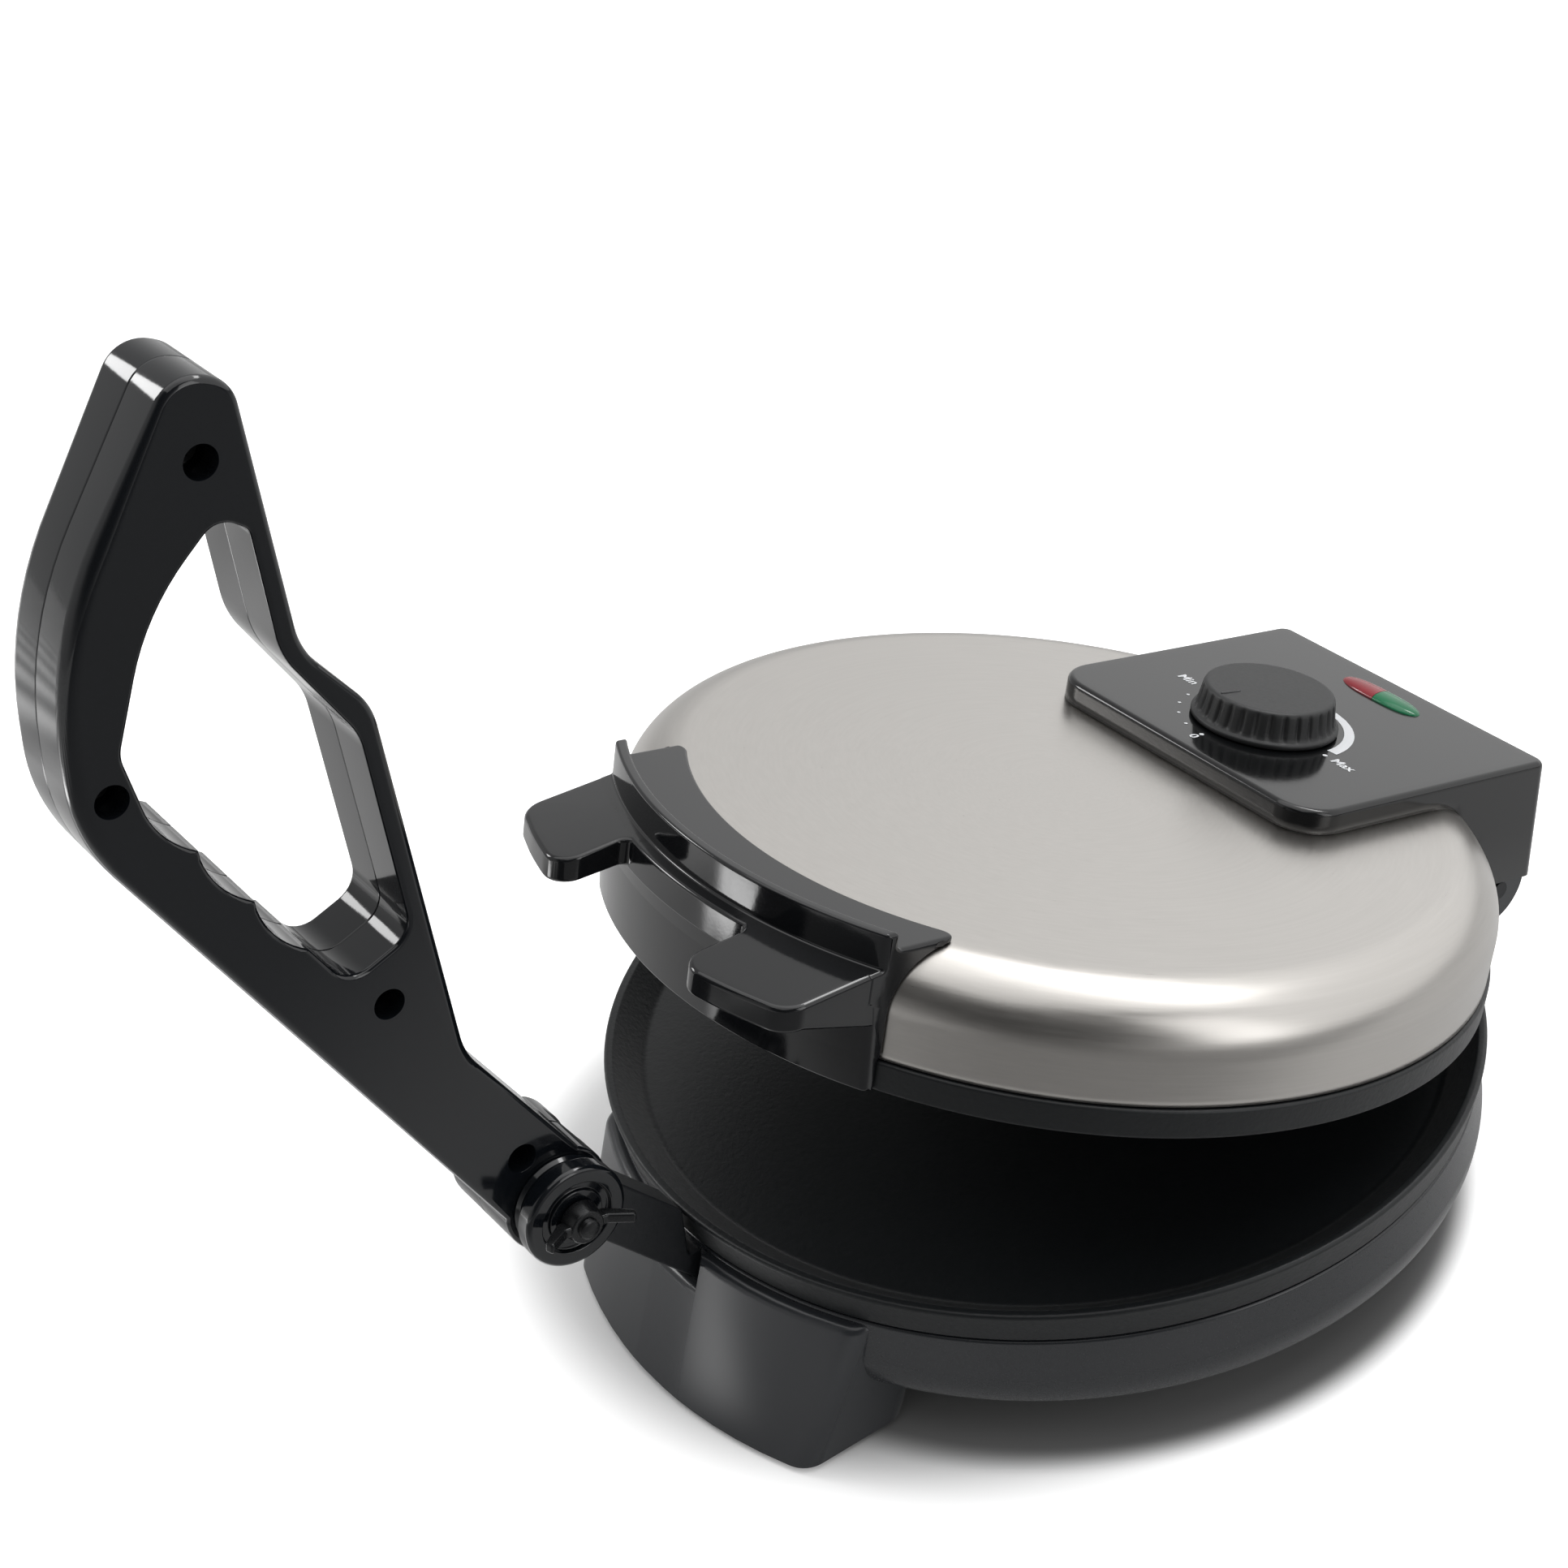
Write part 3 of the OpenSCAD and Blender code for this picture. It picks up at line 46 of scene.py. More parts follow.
# Corners [x, y, radius] to an outline: each corner becomes an arc that touches both its sides
def roundCorners(corners, steps, closed=True):
    spots = np.array([corner[:2] for corner in corners], float)
    pieces = []
    for i, corner in enumerate(corners):
        isEnd = not closed and i in (0, len(corners) - 1)
        if corner[2] == 0 or isEnd:
            pieces.append(spots[i:i + 1])
            continue
        toLast = spots[i - 1] - spots[i]
        toNext = spots[(i + 1) % len(spots)] - spots[i]
        toLast = toLast / np.linalg.norm(toLast)
        toNext = toNext / np.linalg.norm(toNext)
        half = acos(float(np.clip(toLast @ toNext, -1, 1))) / 2
        middle = (toLast + toNext) / np.linalg.norm(toLast + toNext)
        centre = spots[i] + middle * corner[2] / sin(half)
        start = spots[i] + toLast * corner[2] / np.tan(half) - centre
        stop = spots[i] + toNext * corner[2] / np.tan(half) - centre
        first = np.arctan2(start[1], start[0])
        turn = (np.arctan2(stop[1], stop[0]) - first + np.pi) % (2 * np.pi) - np.pi
        angle = first + turn * np.linspace(0, 1, steps + 1)
        pieces.append(centre + corner[2] * np.column_stack([np.cos(angle), np.sin(angle)]))
    return np.vstack(pieces)


# Points centre + radius * (cos t, sin t) for t from first to last, in degrees
def arcPoints(centre, radius, first, last, steps):
    angle = np.radians(np.linspace(first, last, steps + 1))
    return np.array(centre) + radius * np.column_stack([np.cos(angle), np.sin(angle)])


# Full circle that turns clockwise, as the rim of a hole does
def holeRim(centre, radius, count):
    return arcPoints(centre, radius, 360, 0, count)[:-1]


# Outline moved inwards by amount (one number, or one for each point), square to its neighbours' chord
def moveInwards(outline, amount):
    along = np.roll(outline, -1, 0) - np.roll(outline, 1, 0)
    along = along / np.linalg.norm(along, axis=1, keepdims=True)
    return outline + np.reshape(amount, (-1, 1)) * np.column_stack([-along[:, 1], along[:, 0]])


# Quads between neighbours of a rows x columns grid of points; the last column may join the first
def gridFaces(rows, columns, isRing):
    row = np.arange(rows - 1)[:, None]
    column = np.arange(columns if isRing else columns - 1)[None, :]
    nextColumn = (column + 1) % columns
    corners = [row * columns + column, row * columns + nextColumn,
               (row + 1) * columns + nextColumn, (row + 1) * columns + column]
    return np.stack(np.broadcast_arrays(*corners), -1).reshape(-1, 4)


# Surface through rings of points, given as an array rings x points x 3
def ringSurface(rings):
    rings = np.asarray(rings, float)
    return rings.reshape(-1, 3), gridFaces(*rings.shape[:2], True)


# Sheet through rows of points, given as an array rows x points x 3
def openSheet(rows):
    return rows.reshape(-1, 3), gridFaces(*rows.shape[:2], False)


# Profile (r, z) turned about the Z axis: point = (r cos t, r sin t, z)
def revolve(profile, count):
    profile = np.asarray(profile, float)
    turn = np.linspace(0, 2 * np.pi, count, endpoint=False)[None, :]
    radius, height = profile[:, :1], profile[:, 1:2]
    rings = np.stack([radius * np.cos(turn), radius * np.sin(turn), height + 0 * turn], -1)
    return ringSurface(rings)


# Flat sheet at one height between an outline and the holes in it
def flatSheet(loops, height):
    corners = geometry.tessellate_polygon([[Vector((*spot, 0)) for spot in loop] for loop in loops])
    spots = np.vstack(loops)
    return np.column_stack([spots, np.full(len(spots), height)]), np.array(corners)


# Rounded plate between two heights: walls stand on the outlines, and near each face they curve inwards
# by edge * (1 - cos t) while rising by edge * sin t
def roundedPlate(loops, low, high, edge, steps=5):
    turn = np.radians(np.linspace(0, 90, steps + 1))
    inset = edge * (1 - np.cos(turn))
    rise = edge * np.sin(turn)
    heights = np.concatenate([(low + edge - rise)[::-1], high - edge + rise])
    insets = np.concatenate([inset[::-1], inset])
    parts = []
    for loop in loops:
        rings = [np.column_stack([moveInwards(loop, d), np.full(len(loop), z)])
                 for d, z in zip(insets, heights)]
        parts.append(ringSurface(rings))
    for height in (low, high):
        parts.append(flatSheet([moveInwards(loop, edge) for loop in loops], height))
    return parts


# Turns the closed lid's points open about the hinge
def openLid(points):
    angle = radians(-hinge["openAngle"])
    y = points[:, 1] - hinge["y"]
    z = points[:, 2] - hinge["z"]
    return np.column_stack([points[:, 0], hinge["y"] + y * cos(angle) - z * sin(angle),
                            hinge["z"] + y * sin(angle) + z * cos(angle)])


# Carries points drawn with z along +X to the lever's pivot
def atPivot(points):
    return np.column_stack([points[:, 2], pivot["y"] + points[:, 1], pivot["z"] - points[:, 0]])


# New object in the scene, made of a mesh, a text, a light or a camera
def addObject(name, data):
    thing = bpy.data.objects.new(name, data)
    bpy.context.collection.objects.link(thing)
    return thing


# Joins surfaces (points in mm, faces) into one mesh, merges shared points and turns the faces outwards
def addPiece(name, parts, finish, body, replaced=(), wall=0, sharp=40, place=None):
    points, faces, count = [], [], 0
    for spots, corners in parts:
        points.append(spots)
        faces.extend((np.asarray(corners) + count).tolist())
        count += len(spots)
    points = np.vstack(points)
    if place:
        points = place(points)
    mesh = bpy.data.meshes.new(name)
    mesh.from_pydata((points * 0.001).tolist(), [], faces)
    build = bmesh.new()
    build.from_mesh(mesh)
    bmesh.ops.remove_doubles(build, verts=build.verts, dist=2e-6)
    bmesh.ops.dissolve_degenerate(build, edges=build.edges, dist=1e-7)
    bmesh.ops.recalc_face_normals(build, faces=build.faces)
    build.to_mesh(mesh)
    build.free()
    mesh.materials.append(finish)
    mesh.polygons.foreach_set("use_smooth", np.ones(len(mesh.polygons), bool))
    mesh.set_sharp_from_angle(angle=radians(sharp))
    piece = addObject(name, mesh)
    if wall:
        shell = piece.modifiers.new("wall", "SOLIDIFY")
        shell.thickness = wall * 0.001
        shell.offset = -1
    evenLight = piece.modifiers.new("evenLight", "WEIGHTED_NORMAL")
    evenLight.keep_sharp = True
    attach(piece, body)
    if replaced:
        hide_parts(*replaced)


# Hex colour as shown on a screen, to the shader's linear values
def tone(code):
    shown = np.array([int(code[i:i + 2], 16) for i in (1, 3, 5)]) / 255
    linear = np.where(shown <= 0.04045, shown / 12.92, ((shown + 0.055) / 1.055) ** 2.4)
    return (*linear.tolist(), 1.0)


# New node: its settings first, then its inputs, each a fixed value or a link from another socket
def addNode(tree, kind, inputs=None, **settings):
    node = tree.nodes.new(kind)
    for label, value in settings.items():
        setattr(node, label, value)
    for label, value in (inputs or {}).items():
        if isinstance(value, bpy.types.NodeSocket):
            tree.links.new(value, node.inputs[label])
        else:
            node.inputs[label].default_value = value
    return node


# One vector operation on a socket, with a second vector where it takes one
def vectorStep(tree, kind, socket, second=None):
    inputs = {0: socket, 1: second} if second else {0: socket}
    return addNode(tree, "ShaderNodeVectorMath", inputs, operation=kind).outputs


# One sum on two numbers, each a socket or fixed
def mathStep(tree, kind, first, second):
    return addNode(tree, "ShaderNodeMath", {0: first, 1: second}, operation=kind).outputs["Value"]


# Number that goes from low to high while the socket goes from first to last
def blendOver(tree, socket, first, last, low, high, kind="SMOOTHSTEP"):
    limits = {"Value": socket, "From Min": first, "From Max": last, "To Min": low, "To Max": high}
    return addNode(tree, "ShaderNodeMapRange", limits, interpolation_type=kind).outputs["Result"]


# One of two sockets, picked by a third
def pickOne(tree, choice, whenNo, whenYes):
    return addNode(tree, "ShaderNodeMix", {"Factor": choice, "A": whenNo, "B": whenYes}).outputs["Result"]


# New material, with its node tree and its shader
def newFinish(name):
    finish = bpy.data.materials.new(name)
    finish.use_nodes = True
    return finish, finish.node_tree, finish.node_tree.nodes["Principled BSDF"]


# Colour, roughness and relief of a finish, all led by noise: the first socket blends two tones, the
# second spreads the roughness and lifts the surface
def dressShader(tree, shader, blend, dark, light, grain, roughness, roughSpread, bump):
    mix = addNode(tree, "ShaderNodeMix", {"A": tone(dark), "B": tone(light), "Factor": blend},
                  data_type="RGBA")
    tree.links.new(mix.outputs["Result"], shader.inputs["Base Color"])
    rough = blendOver(tree, grain, 0, 1, max(roughness - roughSpread, 0.02), roughness + roughSpread,
                      "LINEAR")
    tree.links.new(rough, shader.inputs["Roughness"])
    relief = addNode(tree, "ShaderNodeBump", {"Strength": bump, "Distance": 0.0002, "Height": grain})
    tree.links.new(relief.outputs["Normal"], shader.inputs["Normal"])


# Finish whose colour wanders between two tones and whose surface has a fine grain
def grainFinish(name, dark, light, roughness, grain=900, bump=0.1, cloud=14, metal=0.0, ior=1.5,
                roughSpread=0.05):
    finish, tree, shader = newFinish(name)
    shader.inputs["Metallic"].default_value = metal
    shader.inputs["IOR"].default_value = ior
    spot = addNode(tree, "ShaderNodeTexCoord").outputs["Object"]
    clouds = addNode(tree, "ShaderNodeTexNoise", {"Scale": cloud, "Detail": 4, "Vector": spot})
    fine = addNode(tree, "ShaderNodeTexNoise", {"Scale": grain, "Detail": 3, "Vector": spot})
    dressShader(tree, shader, clouds.outputs["Fac"], dark, light, fine.outputs["Fac"], roughness,
                roughSpread, bump)
    return finish


brushing = {"stretch": 60, "scale": 14, "detail": 6, "noise": 0.7, "roughSpread": 0.06, "bump": 0.08}


# Steel brushed in rings round the cover's own axis: noise over (stretch * radius, stretch * height,
# cosine of the angle), so it hardly changes along a ring
def brushedSteel(name, dark, light, roughness):
    finish, tree, shader = newFinish(name)
    shader.inputs["Metallic"].default_value = 1.0
    spot = addNode(tree, "ShaderNodeTexCoord").outputs["Object"]
    away = openLid(np.zeros((1, 3)))[0] * 0.001
    onLid = addNode(tree, "ShaderNodeMapping", {"Rotation": (radians(-hinge["openAngle"]), 0, 0),
                                                "Location": away.tolist(), "Vector": spot},
                    vector_type="TEXTURE").outputs["Vector"]
    split = addNode(tree, "ShaderNodeSeparateXYZ", {"Vector": onLid}).outputs
    flat = addNode(tree, "ShaderNodeCombineXYZ", {"X": split["X"], "Y": split["Y"]}).outputs["Vector"]
    radius = vectorStep(tree, "LENGTH", flat)["Value"]
    unit = vectorStep(tree, "NORMALIZE", flat)["Vector"]
    rings = addNode(tree, "ShaderNodeCombineXYZ", {
        "X": mathStep(tree, "MULTIPLY", radius, brushing["stretch"]),
        "Y": mathStep(tree, "MULTIPLY", split["Z"], brushing["stretch"]),
        "Z": vectorStep(tree, "DOT_PRODUCT", unit, (1, 0, 0))["Value"]}).outputs["Vector"]
    lines = addNode(tree, "ShaderNodeTexNoise", {
        "Scale": brushing["scale"], "Detail": brushing["detail"], "Roughness": brushing["noise"],
        "Vector": rings}).outputs["Fac"]
    dressShader(tree, shader, lines, dark, light, lines, roughness, brushing["roughSpread"],
                brushing["bump"])
    return finish


finishLooks = {
    "housingPaint": {"dark": "#1e2023", "light": "#242629", "roughness": 0.26, "grain": 1800,
                     "bump": 0.015},
    "legPlastic": {"dark": "#25272a", "light": "#2b2d30", "roughness": 0.24, "grain": 1800,
                   "bump": 0.015},
    "leverPhenolic": {"dark": "#0b0d10", "light": "#101317", "roughness": 0.1, "bump": 0.03,
                      "roughSpread": 0.02},
    "handlePlastic": {"dark": "#0d0e10", "light": "#131416", "roughness": 0.09, "bump": 0.03,
                      "roughSpread": 0.02},
    "boxPlastic": {"dark": "#0b0c0d", "light": "#101112", "roughness": 0.12, "bump": 0.03,
                   "roughSpread": 0.03},
    "knobPlastic": {"dark": "#151617", "light": "#1b1c1d", "roughness": 0.5, "bump": 0.12},
    "nonstick": {"dark": "#0e1012", "light": "#16191b", "roughness": 0.42, "grain": 650,
                 "bump": 0.5, "ior": 1.4},
    "castIron": {"dark": "#141619", "light": "#1b1d20", "roughness": 0.38, "grain": 700, "bump": 0.25},
    "blackSteel": {"dark": "#101113", "light": "#1a1b1d", "roughness": 0.28, "metal": 0.4},
    "zinc": {"dark": "#a7a9aa", "light": "#c0c2c3", "roughness": 0.34, "metal": 1.0},
    "darkScrew": {"dark": "#1a1b1c", "light": "#2a2b2c", "roughness": 0.35, "metal": 0.8},
    "rubber": {"dark": "#1b1b1b", "light": "#222222", "roughness": 0.75, "bump": 0.2},
    "sheath": {"dark": "#6b6660", "light": "#7d776f", "roughness": 0.4, "metal": 0.9, "bump": 0.15},
    "ceramic": {"dark": "#d8d2c2", "light": "#e6e1d4", "roughness": 0.45},
    "glandPlastic": {"dark": "#1a1b1c", "light": "#222324", "roughness": 0.4},
    "pinSteel": {"dark": "#1d1e20", "light": "#27282a", "roughness": 0.3, "metal": 0.6},
    "brass": {"dark": "#a98a45", "light": "#c2a35a", "roughness": 0.3, "metal": 1.0},
    "lampGlass": {"dark": "#d9a88a", "light": "#e8c4a8", "roughness": 0.15},
    "redLens": {"dark": "#7c1f27", "light": "#8f2a32", "roughness": 0.12, "bump": 0.02, "cloud": 60},
    "greenLens": {"dark": "#07603c", "light": "#0b7249", "roughness": 0.12, "bump": 0.02, "cloud": 60},
    "whiteInk": {"dark": "#d8dade", "light": "#e6e8ea", "roughness": 0.45, "bump": 0.05},
}
finishes = {name: grainFinish(name, **look) for name, look in finishLooks.items()}
finishes["brushedCover"] = brushedSteel("brushedCover", "#aeaba7", "#bebbb7", 0.3)
slotFinish = {
    "housing_paint": "housingPaint", "leg_plastic": "legPlastic", "zinc_sheet": "zinc",
    "zinc_screws": "zinc", "foot_rubber": "rubber", "nonstick_plate": "nonstick",
    "element_sheath": "sheath", "terminal_ceramic": "ceramic", "gland_plastic": "glandPlastic",
    "bracket_casting": "castIron", "black_steel": "blackSteel", "pin_steel": "pinSteel",
    "brushed_cover": "brushedCover", "black_handle": "handlePlastic",
    "control_box_plastic": "boxPlastic", "lamp_glass": "lampGlass", "red_lens": "redLens",
    "green_lens": "greenLens", "knob_plastic": "knobPlastic", "bush_brass": "brass",
}
for node in nodes.values():
    for slot in node.material_slots:
        slotName = slot.material.name.split(".")[0]
        slot.material = finishes[slotFinish.get(slotName, "legPlastic")]
for slot in nodes["lever_screws"].material_slots:
    slot.material = finishes["darkScrew"]
print("finishes set on the packed nodes")


# Steel cover and the two plates
cover = {"radius": 131, "low": 69.9, "top": 101, "shoulder": 18, "sheet": 1.0}
shoulderSpot = [cover["radius"] - cover["shoulder"], cover["top"] - cover["shoulder"]]
coverProfile = np.vstack([
    [[cover["radius"], cover["low"]], [cover["radius"], cover["low"] + 2]],
    arcPoints(shoulderSpot, cover["shoulder"], 0, 90, 24),
    [[radius, cover["top"]] for radius in (112, 90, 45, 0)]])
addPiece("steelCover", [revolve(coverProfile, 200)], finishes["brushedCover"], "lid",
         ["lid_cover"], wall=cover["sheet"], place=openLid)

upperDisc = roundCorners([
    [0, 55.5, 0], [119, 55.5, 3], [128, 60.6, 3], [132, 60.6, 1], [132, 69.4, 1], [129, 69.4, 0.5],
    [128, 65, 1], [119, 60.5, 2], [0, 60.5, 0]], 5, closed=False)
addPiece("upperCastPlate", [revolve(upperDisc, 200)], finishes["nonstick"], "lid",
         ["upper_plate"], place=openLid)

lowerDisc = roundCorners([
    [0, 48, 0], [121, 48, 1], [130, 55, 1], [129.5, 49, 0.5], [132.5, 49, 1.2], [135, 60, 1.2],
    [132, 60, 1.2], [123, 53, 4], [0, 53, 0]], 5, closed=False)
addPiece("lowerCastPlate", [revolve(lowerDisc, 200)], finishes["nonstick"], "base",
         ["lower_plate"])


# Height over the cover's round shoulder, raised by gap, at distance radius from the lid's axis:
# z = spot z + sqrt((shoulder + gap)^2 - (radius - spot r)^2)
def shoulderHeight(radius, gap):
    reach = (cover["shoulder"] + gap) ** 2 - (radius - shoulderSpot[0]) ** 2
    return shoulderSpot[1] + np.sqrt(np.clip(reach, 0, None))


# Housing: a belly pan, with the boss for the cord gland at its back
housing = {"radius": 134, "floor": 18, "belly": 17, "top": 48.5, "mouth": 88, "wall": 2.5,
           "bossAngle": 128, "bossAway": 135.2, "bossHeight": 38, "bossRadius": 9.5, "bossDeep": 6}
belly = np.vstack([
    [[housing["mouth"], housing["floor"]], [105, housing["floor"]]],
    arcPoints([housing["radius"] - housing["belly"], housing["floor"] + housing["belly"]],
              housing["belly"], -90, 0, 24),
    roundCorners([[housing["radius"], 36, 0], [132.5, housing["top"], 1.0], [130, housing["top"], 0]],
                 5, closed=False)])
boss = revolve(roundCorners([[0, -housing["bossDeep"], 0], [housing["bossRadius"], -housing["bossDeep"], 0],
                             [housing["bossRadius"], 0, 1.2], [0, 0, 0]], 5, closed=False), 64)
away = radians(housing["bossAngle"])
outwards = np.array([cos(away), sin(away), 0])
sideways = np.array([[-sin(away), cos(away), 0], [0, 0, 1], outwards])
bossSpot = housing["bossAway"] * outwards + [0, 0, housing["bossHeight"]]
boss = (boss[0] @ sideways + bossSpot, boss[1])
addPiece("housingShell", [revolve(belly, 200)], finishes["housingPaint"], "base",
         ["lower_housing"], wall=housing["wall"])
addPiece("glandBoss", [boss], finishes["housingPaint"], "base")
print("cover, plates and housing made")

# Front leg: its outline grows from the top to the foot, and the top edge rounds inwards
frontLeg = {"topRadius": 136, "footRadius": 151, "topHalf": 65, "footHalf": 60, "top": 47.3,
            "low": 1.5, "depth": 50, "corner": 8, "edge": 2.2, "lip": 7, "notchHalf": 10.7,
            "notchDeep": 10, "backSlope": 12, "wall": 2.2}


# Plan of the leg: an arc of the given radius in front, rounded corners, straight at the back
def legPlan(radius, half, back, corner):
    share = np.array([0.9, 0.75, 0.6, 0.45, 0.3, 0.2])
    notch = frontLeg["notchHalf"]
    across = np.concatenate([-share * half, [-notch - 0.05, -notch + 0.05, -5, 5, notch - 0.05,
                                             notch + 0.05], share[::-1] * half])
    front = [[x, -sqrt(radius ** 2 - x ** 2), 0] for x in across]
    corners = [[-half, -sqrt(radius ** 2 - half ** 2), corner], *front,
               [half, -sqrt(radius ** 2 - half ** 2), corner], [half, -back, corner],
               [-half, -back, corner]]
    return roundCorners(corners, 8)


# Leg skin: plan(z) runs straight from foot to top; past the top it goes inwards on a quarter round
def legSkin(leg):
    back = leg["footRadius"] - leg["depth"]
    foot = legPlan(leg["footRadius"], leg["footHalf"], back, leg["corner"])
    head = legPlan(leg["topRadius"], leg["topHalf"], back - leg["backSlope"], leg["corner"])
    isNotch = (np.abs(head[:, 0]) < leg["notchHalf"]) & (head[:, 1] < -back)
    top = np.where(isNotch, leg["top"] - leg["notchDeep"], leg["top"])
    sole = [np.column_stack([moveInwards(foot, inset), np.full(len(foot), leg["low"] + rise)])
            for inset, rise in ((0.6, 0), (0, 0.6))]
    steps = [(leg["low"] + (top - leg["edge"] - leg["low"]) * share, 0 * top) for share in (0.33, 0.66)]
    steps += [(top - leg["edge"] + leg["edge"] * sin(t), 0 * top + leg["edge"] * (1 - cos(t)))
              for t in np.radians(np.linspace(0, 90, 7))]
    steps.append((top, 0 * top + leg["lip"]))
    walls = []
    for height, inset in steps:
        share = ((height - leg["low"]) / (leg["top"] - leg["low"]))[:, None]
        walls.append(np.column_stack([moveInwards(foot + (head - foot) * share, inset), height]))
    return ringSurface(sole + walls)


addPiece("frontLegShell", [legSkin(frontLeg)], finishes["legPlastic"], "base", ["front_leg"],
         wall=frontLeg["wall"], sharp=50)
print("front leg made")

# Lever: two half shells with a finger grip, joined in the plane x = 0
lever = {
    "half": 15, "outerEdge": 4.4, "lidEdge": 2.0, "barrelEdge": 1.0, "gripEdge": 1.3, "seam": 0.35,
    "joint": 0.05, "barrel": 16, "hubHole": 4.6, "slotFrom": 62, "slotTo": 242, "slotDeep": 6.6,
    "wellRadius": 4.2, "wellFlare": 0.15, "wellLip": 0.3, "screwHole": 2.0, "wellFloor": 4,
    "outline": [[2, -14.5, 4], [183, -65.1, 50], [228.8, -50.2, 95], [273, 2, 10], [263, 13.8, 10],
                [194, 1.6, 22], [170, 11.6, 20], [62, -5, 25], [4, 13.5, 4]],
    "wells": [[250.4, -0.9], [188.4, -53.6], [91.6, -17.4], [20.6, -4]],
    "groovePitch": 22.4, "grooveRadius": 24.6, "grooveSlope": -16.1, "grooveFrom": [137, -11],
    "gripStart": [104, -24.2, 8],
    "gripRest": [[197, -47, 9], [224.8, -26.8, 60], [236, -3, 6], [229, 2.6, 3.5], [196, -3.6, 24],
                 [165, 5.4, 18], [106, -4, 8]],
}


# Grip opening: three finger grooves, each an arc, in a row on a sloping line, and rounded corners
def gripOutline():
    half = np.degrees(asin(lever["groovePitch"] / 2 / lever["grooveRadius"]))
    slope = lever["grooveSlope"]
    step = np.array([cos(radians(slope)), sin(radians(slope))]) * lever["groovePitch"]
    grooves = [arcPoints(np.array(lever["grooveFrom"]) + i * step, lever["grooveRadius"],
                         slope - 90 - half, slope - 90 + half, 10)[:-1] for i in range(3)]
    middle = [[x, y, 0] for x, y in np.vstack(grooves)]
    return roundCorners([lever["gripStart"], *middle, *lever["gripRest"]], 8)


# Lever outline with its hub end replaced by the barrel's circle, and which points lie on that circle
def leverOutline():
    outline = roundCorners(lever["outline"], 10)
    dense = np.vstack([a + (b - a) * np.linspace(0, 1, 400, endpoint=False)[:, None]
                       for a, b in zip(outline, np.roll(outline, -1, 0))])
    isOut = np.linalg.norm(dense, axis=1) > lever["barrel"]
    leaving = dense[np.flatnonzero(isOut & ~np.roll(isOut, 1))[0]]
    entering = dense[np.flatnonzero(~isOut & np.roll(isOut, 1))[0]]
    isKept = np.linalg.norm(outline, axis=1) > lever["barrel"] + 0.5
    start = int(np.flatnonzero(isKept & ~np.roll(isKept, 1))[0])
    kept = np.roll(outline, -start, 0)[np.roll(isKept, -start)]
    first = np.degrees(np.arctan2(entering[1], entering[0]))
    last = np.degrees(np.arctan2(leaving[1], leaving[0])) % 360
    circle = arcPoints([0, 0], lever["barrel"], first, last, 60)
    return np.vstack([kept, circle]), np.concatenate([np.zeros(len(kept)), np.ones(len(circle))])


# Lever wall on an outline: straight out from the seam at low, then curved inwards to the flat face
def leverWall(outline, low, edge):
    low = low + np.zeros(len(outline))
    edge = edge + np.zeros(len(outline))
    rings = [np.column_stack([moveInwards(outline, lever["seam"]), low]),
             np.column_stack([outline, low + lever["seam"]])]
    rings += [np.column_stack([moveInwards(outline, edge * (1 - cos(t))),
                               lever["half"] - edge + edge * sin(t)])
              for t in np.radians(np.linspace(0, 90, 8))]
    return ringSurface(rings)


# Half shell: a wall outside, one round the grip, the screws' wells, and a flat face between them
def leverShell(side):
    outline, isBarrel = leverOutline()
    soft = (np.roll(isBarrel, 1) + isBarrel + np.roll(isBarrel, -1)) / 3
    edge = np.interp(outline[:, 1], [-30, 0], [lever["outerEdge"], lever["lidEdge"]])
    edge = edge + (lever["barrelEdge"] - edge) * soft
    angle = np.degrees(np.arctan2(outline[:, 1], outline[:, 0])) % 360
    isSlot = (isBarrel > 0) & (angle > lever["slotFrom"]) & (angle < lever["slotTo"])
    low = np.where(isSlot, lever["slotDeep"], lever["joint"])
    grip = gripOutline()[::-1]
    half, rim, well = lever["half"], lever["gripEdge"], lever["wellRadius"]
    parts = [leverWall(outline, low, edge), leverWall(grip, lever["joint"], rim)]
    loops = [moveInwards(outline, edge), moveInwards(grip, rim),
             holeRim([0, 0], lever["hubHole"], 32)]
    if side > 0:
        for spot in lever["wells"]:
            mouth = holeRim(spot, well + lever["wellFlare"], 32)
            pit = [mouth, *[holeRim(spot, r, 32) for r in (well, well, lever["screwHole"])]]
            depth = [half, half - lever["wellLip"], lever["wellFloor"], lever["wellFloor"]]
            parts.append(ringSurface([np.column_stack([ring, np.full(32, z)])
                                      for ring, z in zip(pit, depth)]))
            loops.append(mouth)
    parts.append(flatSheet(loops, half))

    # The drawing's axes run along the lever, towards the lid and away from the seam
    def place(points):
        lean = radians(pivot["lean"])
        along, towards, out = points.T
        return np.column_stack([side * out, pivot["y"] - along * sin(lean) + towards * cos(lean),
                                pivot["z"] + along * cos(lean) + towards * sin(lean)])

    return parts, place


for side, label in ((1, "Right"), (-1, "Left")):
    parts, place = leverShell(side)
    addPiece("leverShell" + label, parts, finishes["leverPhenolic"], "lever",
             ["lever_shell_" + label.lower()], place=place, sharp=50)
print("lever shells made")

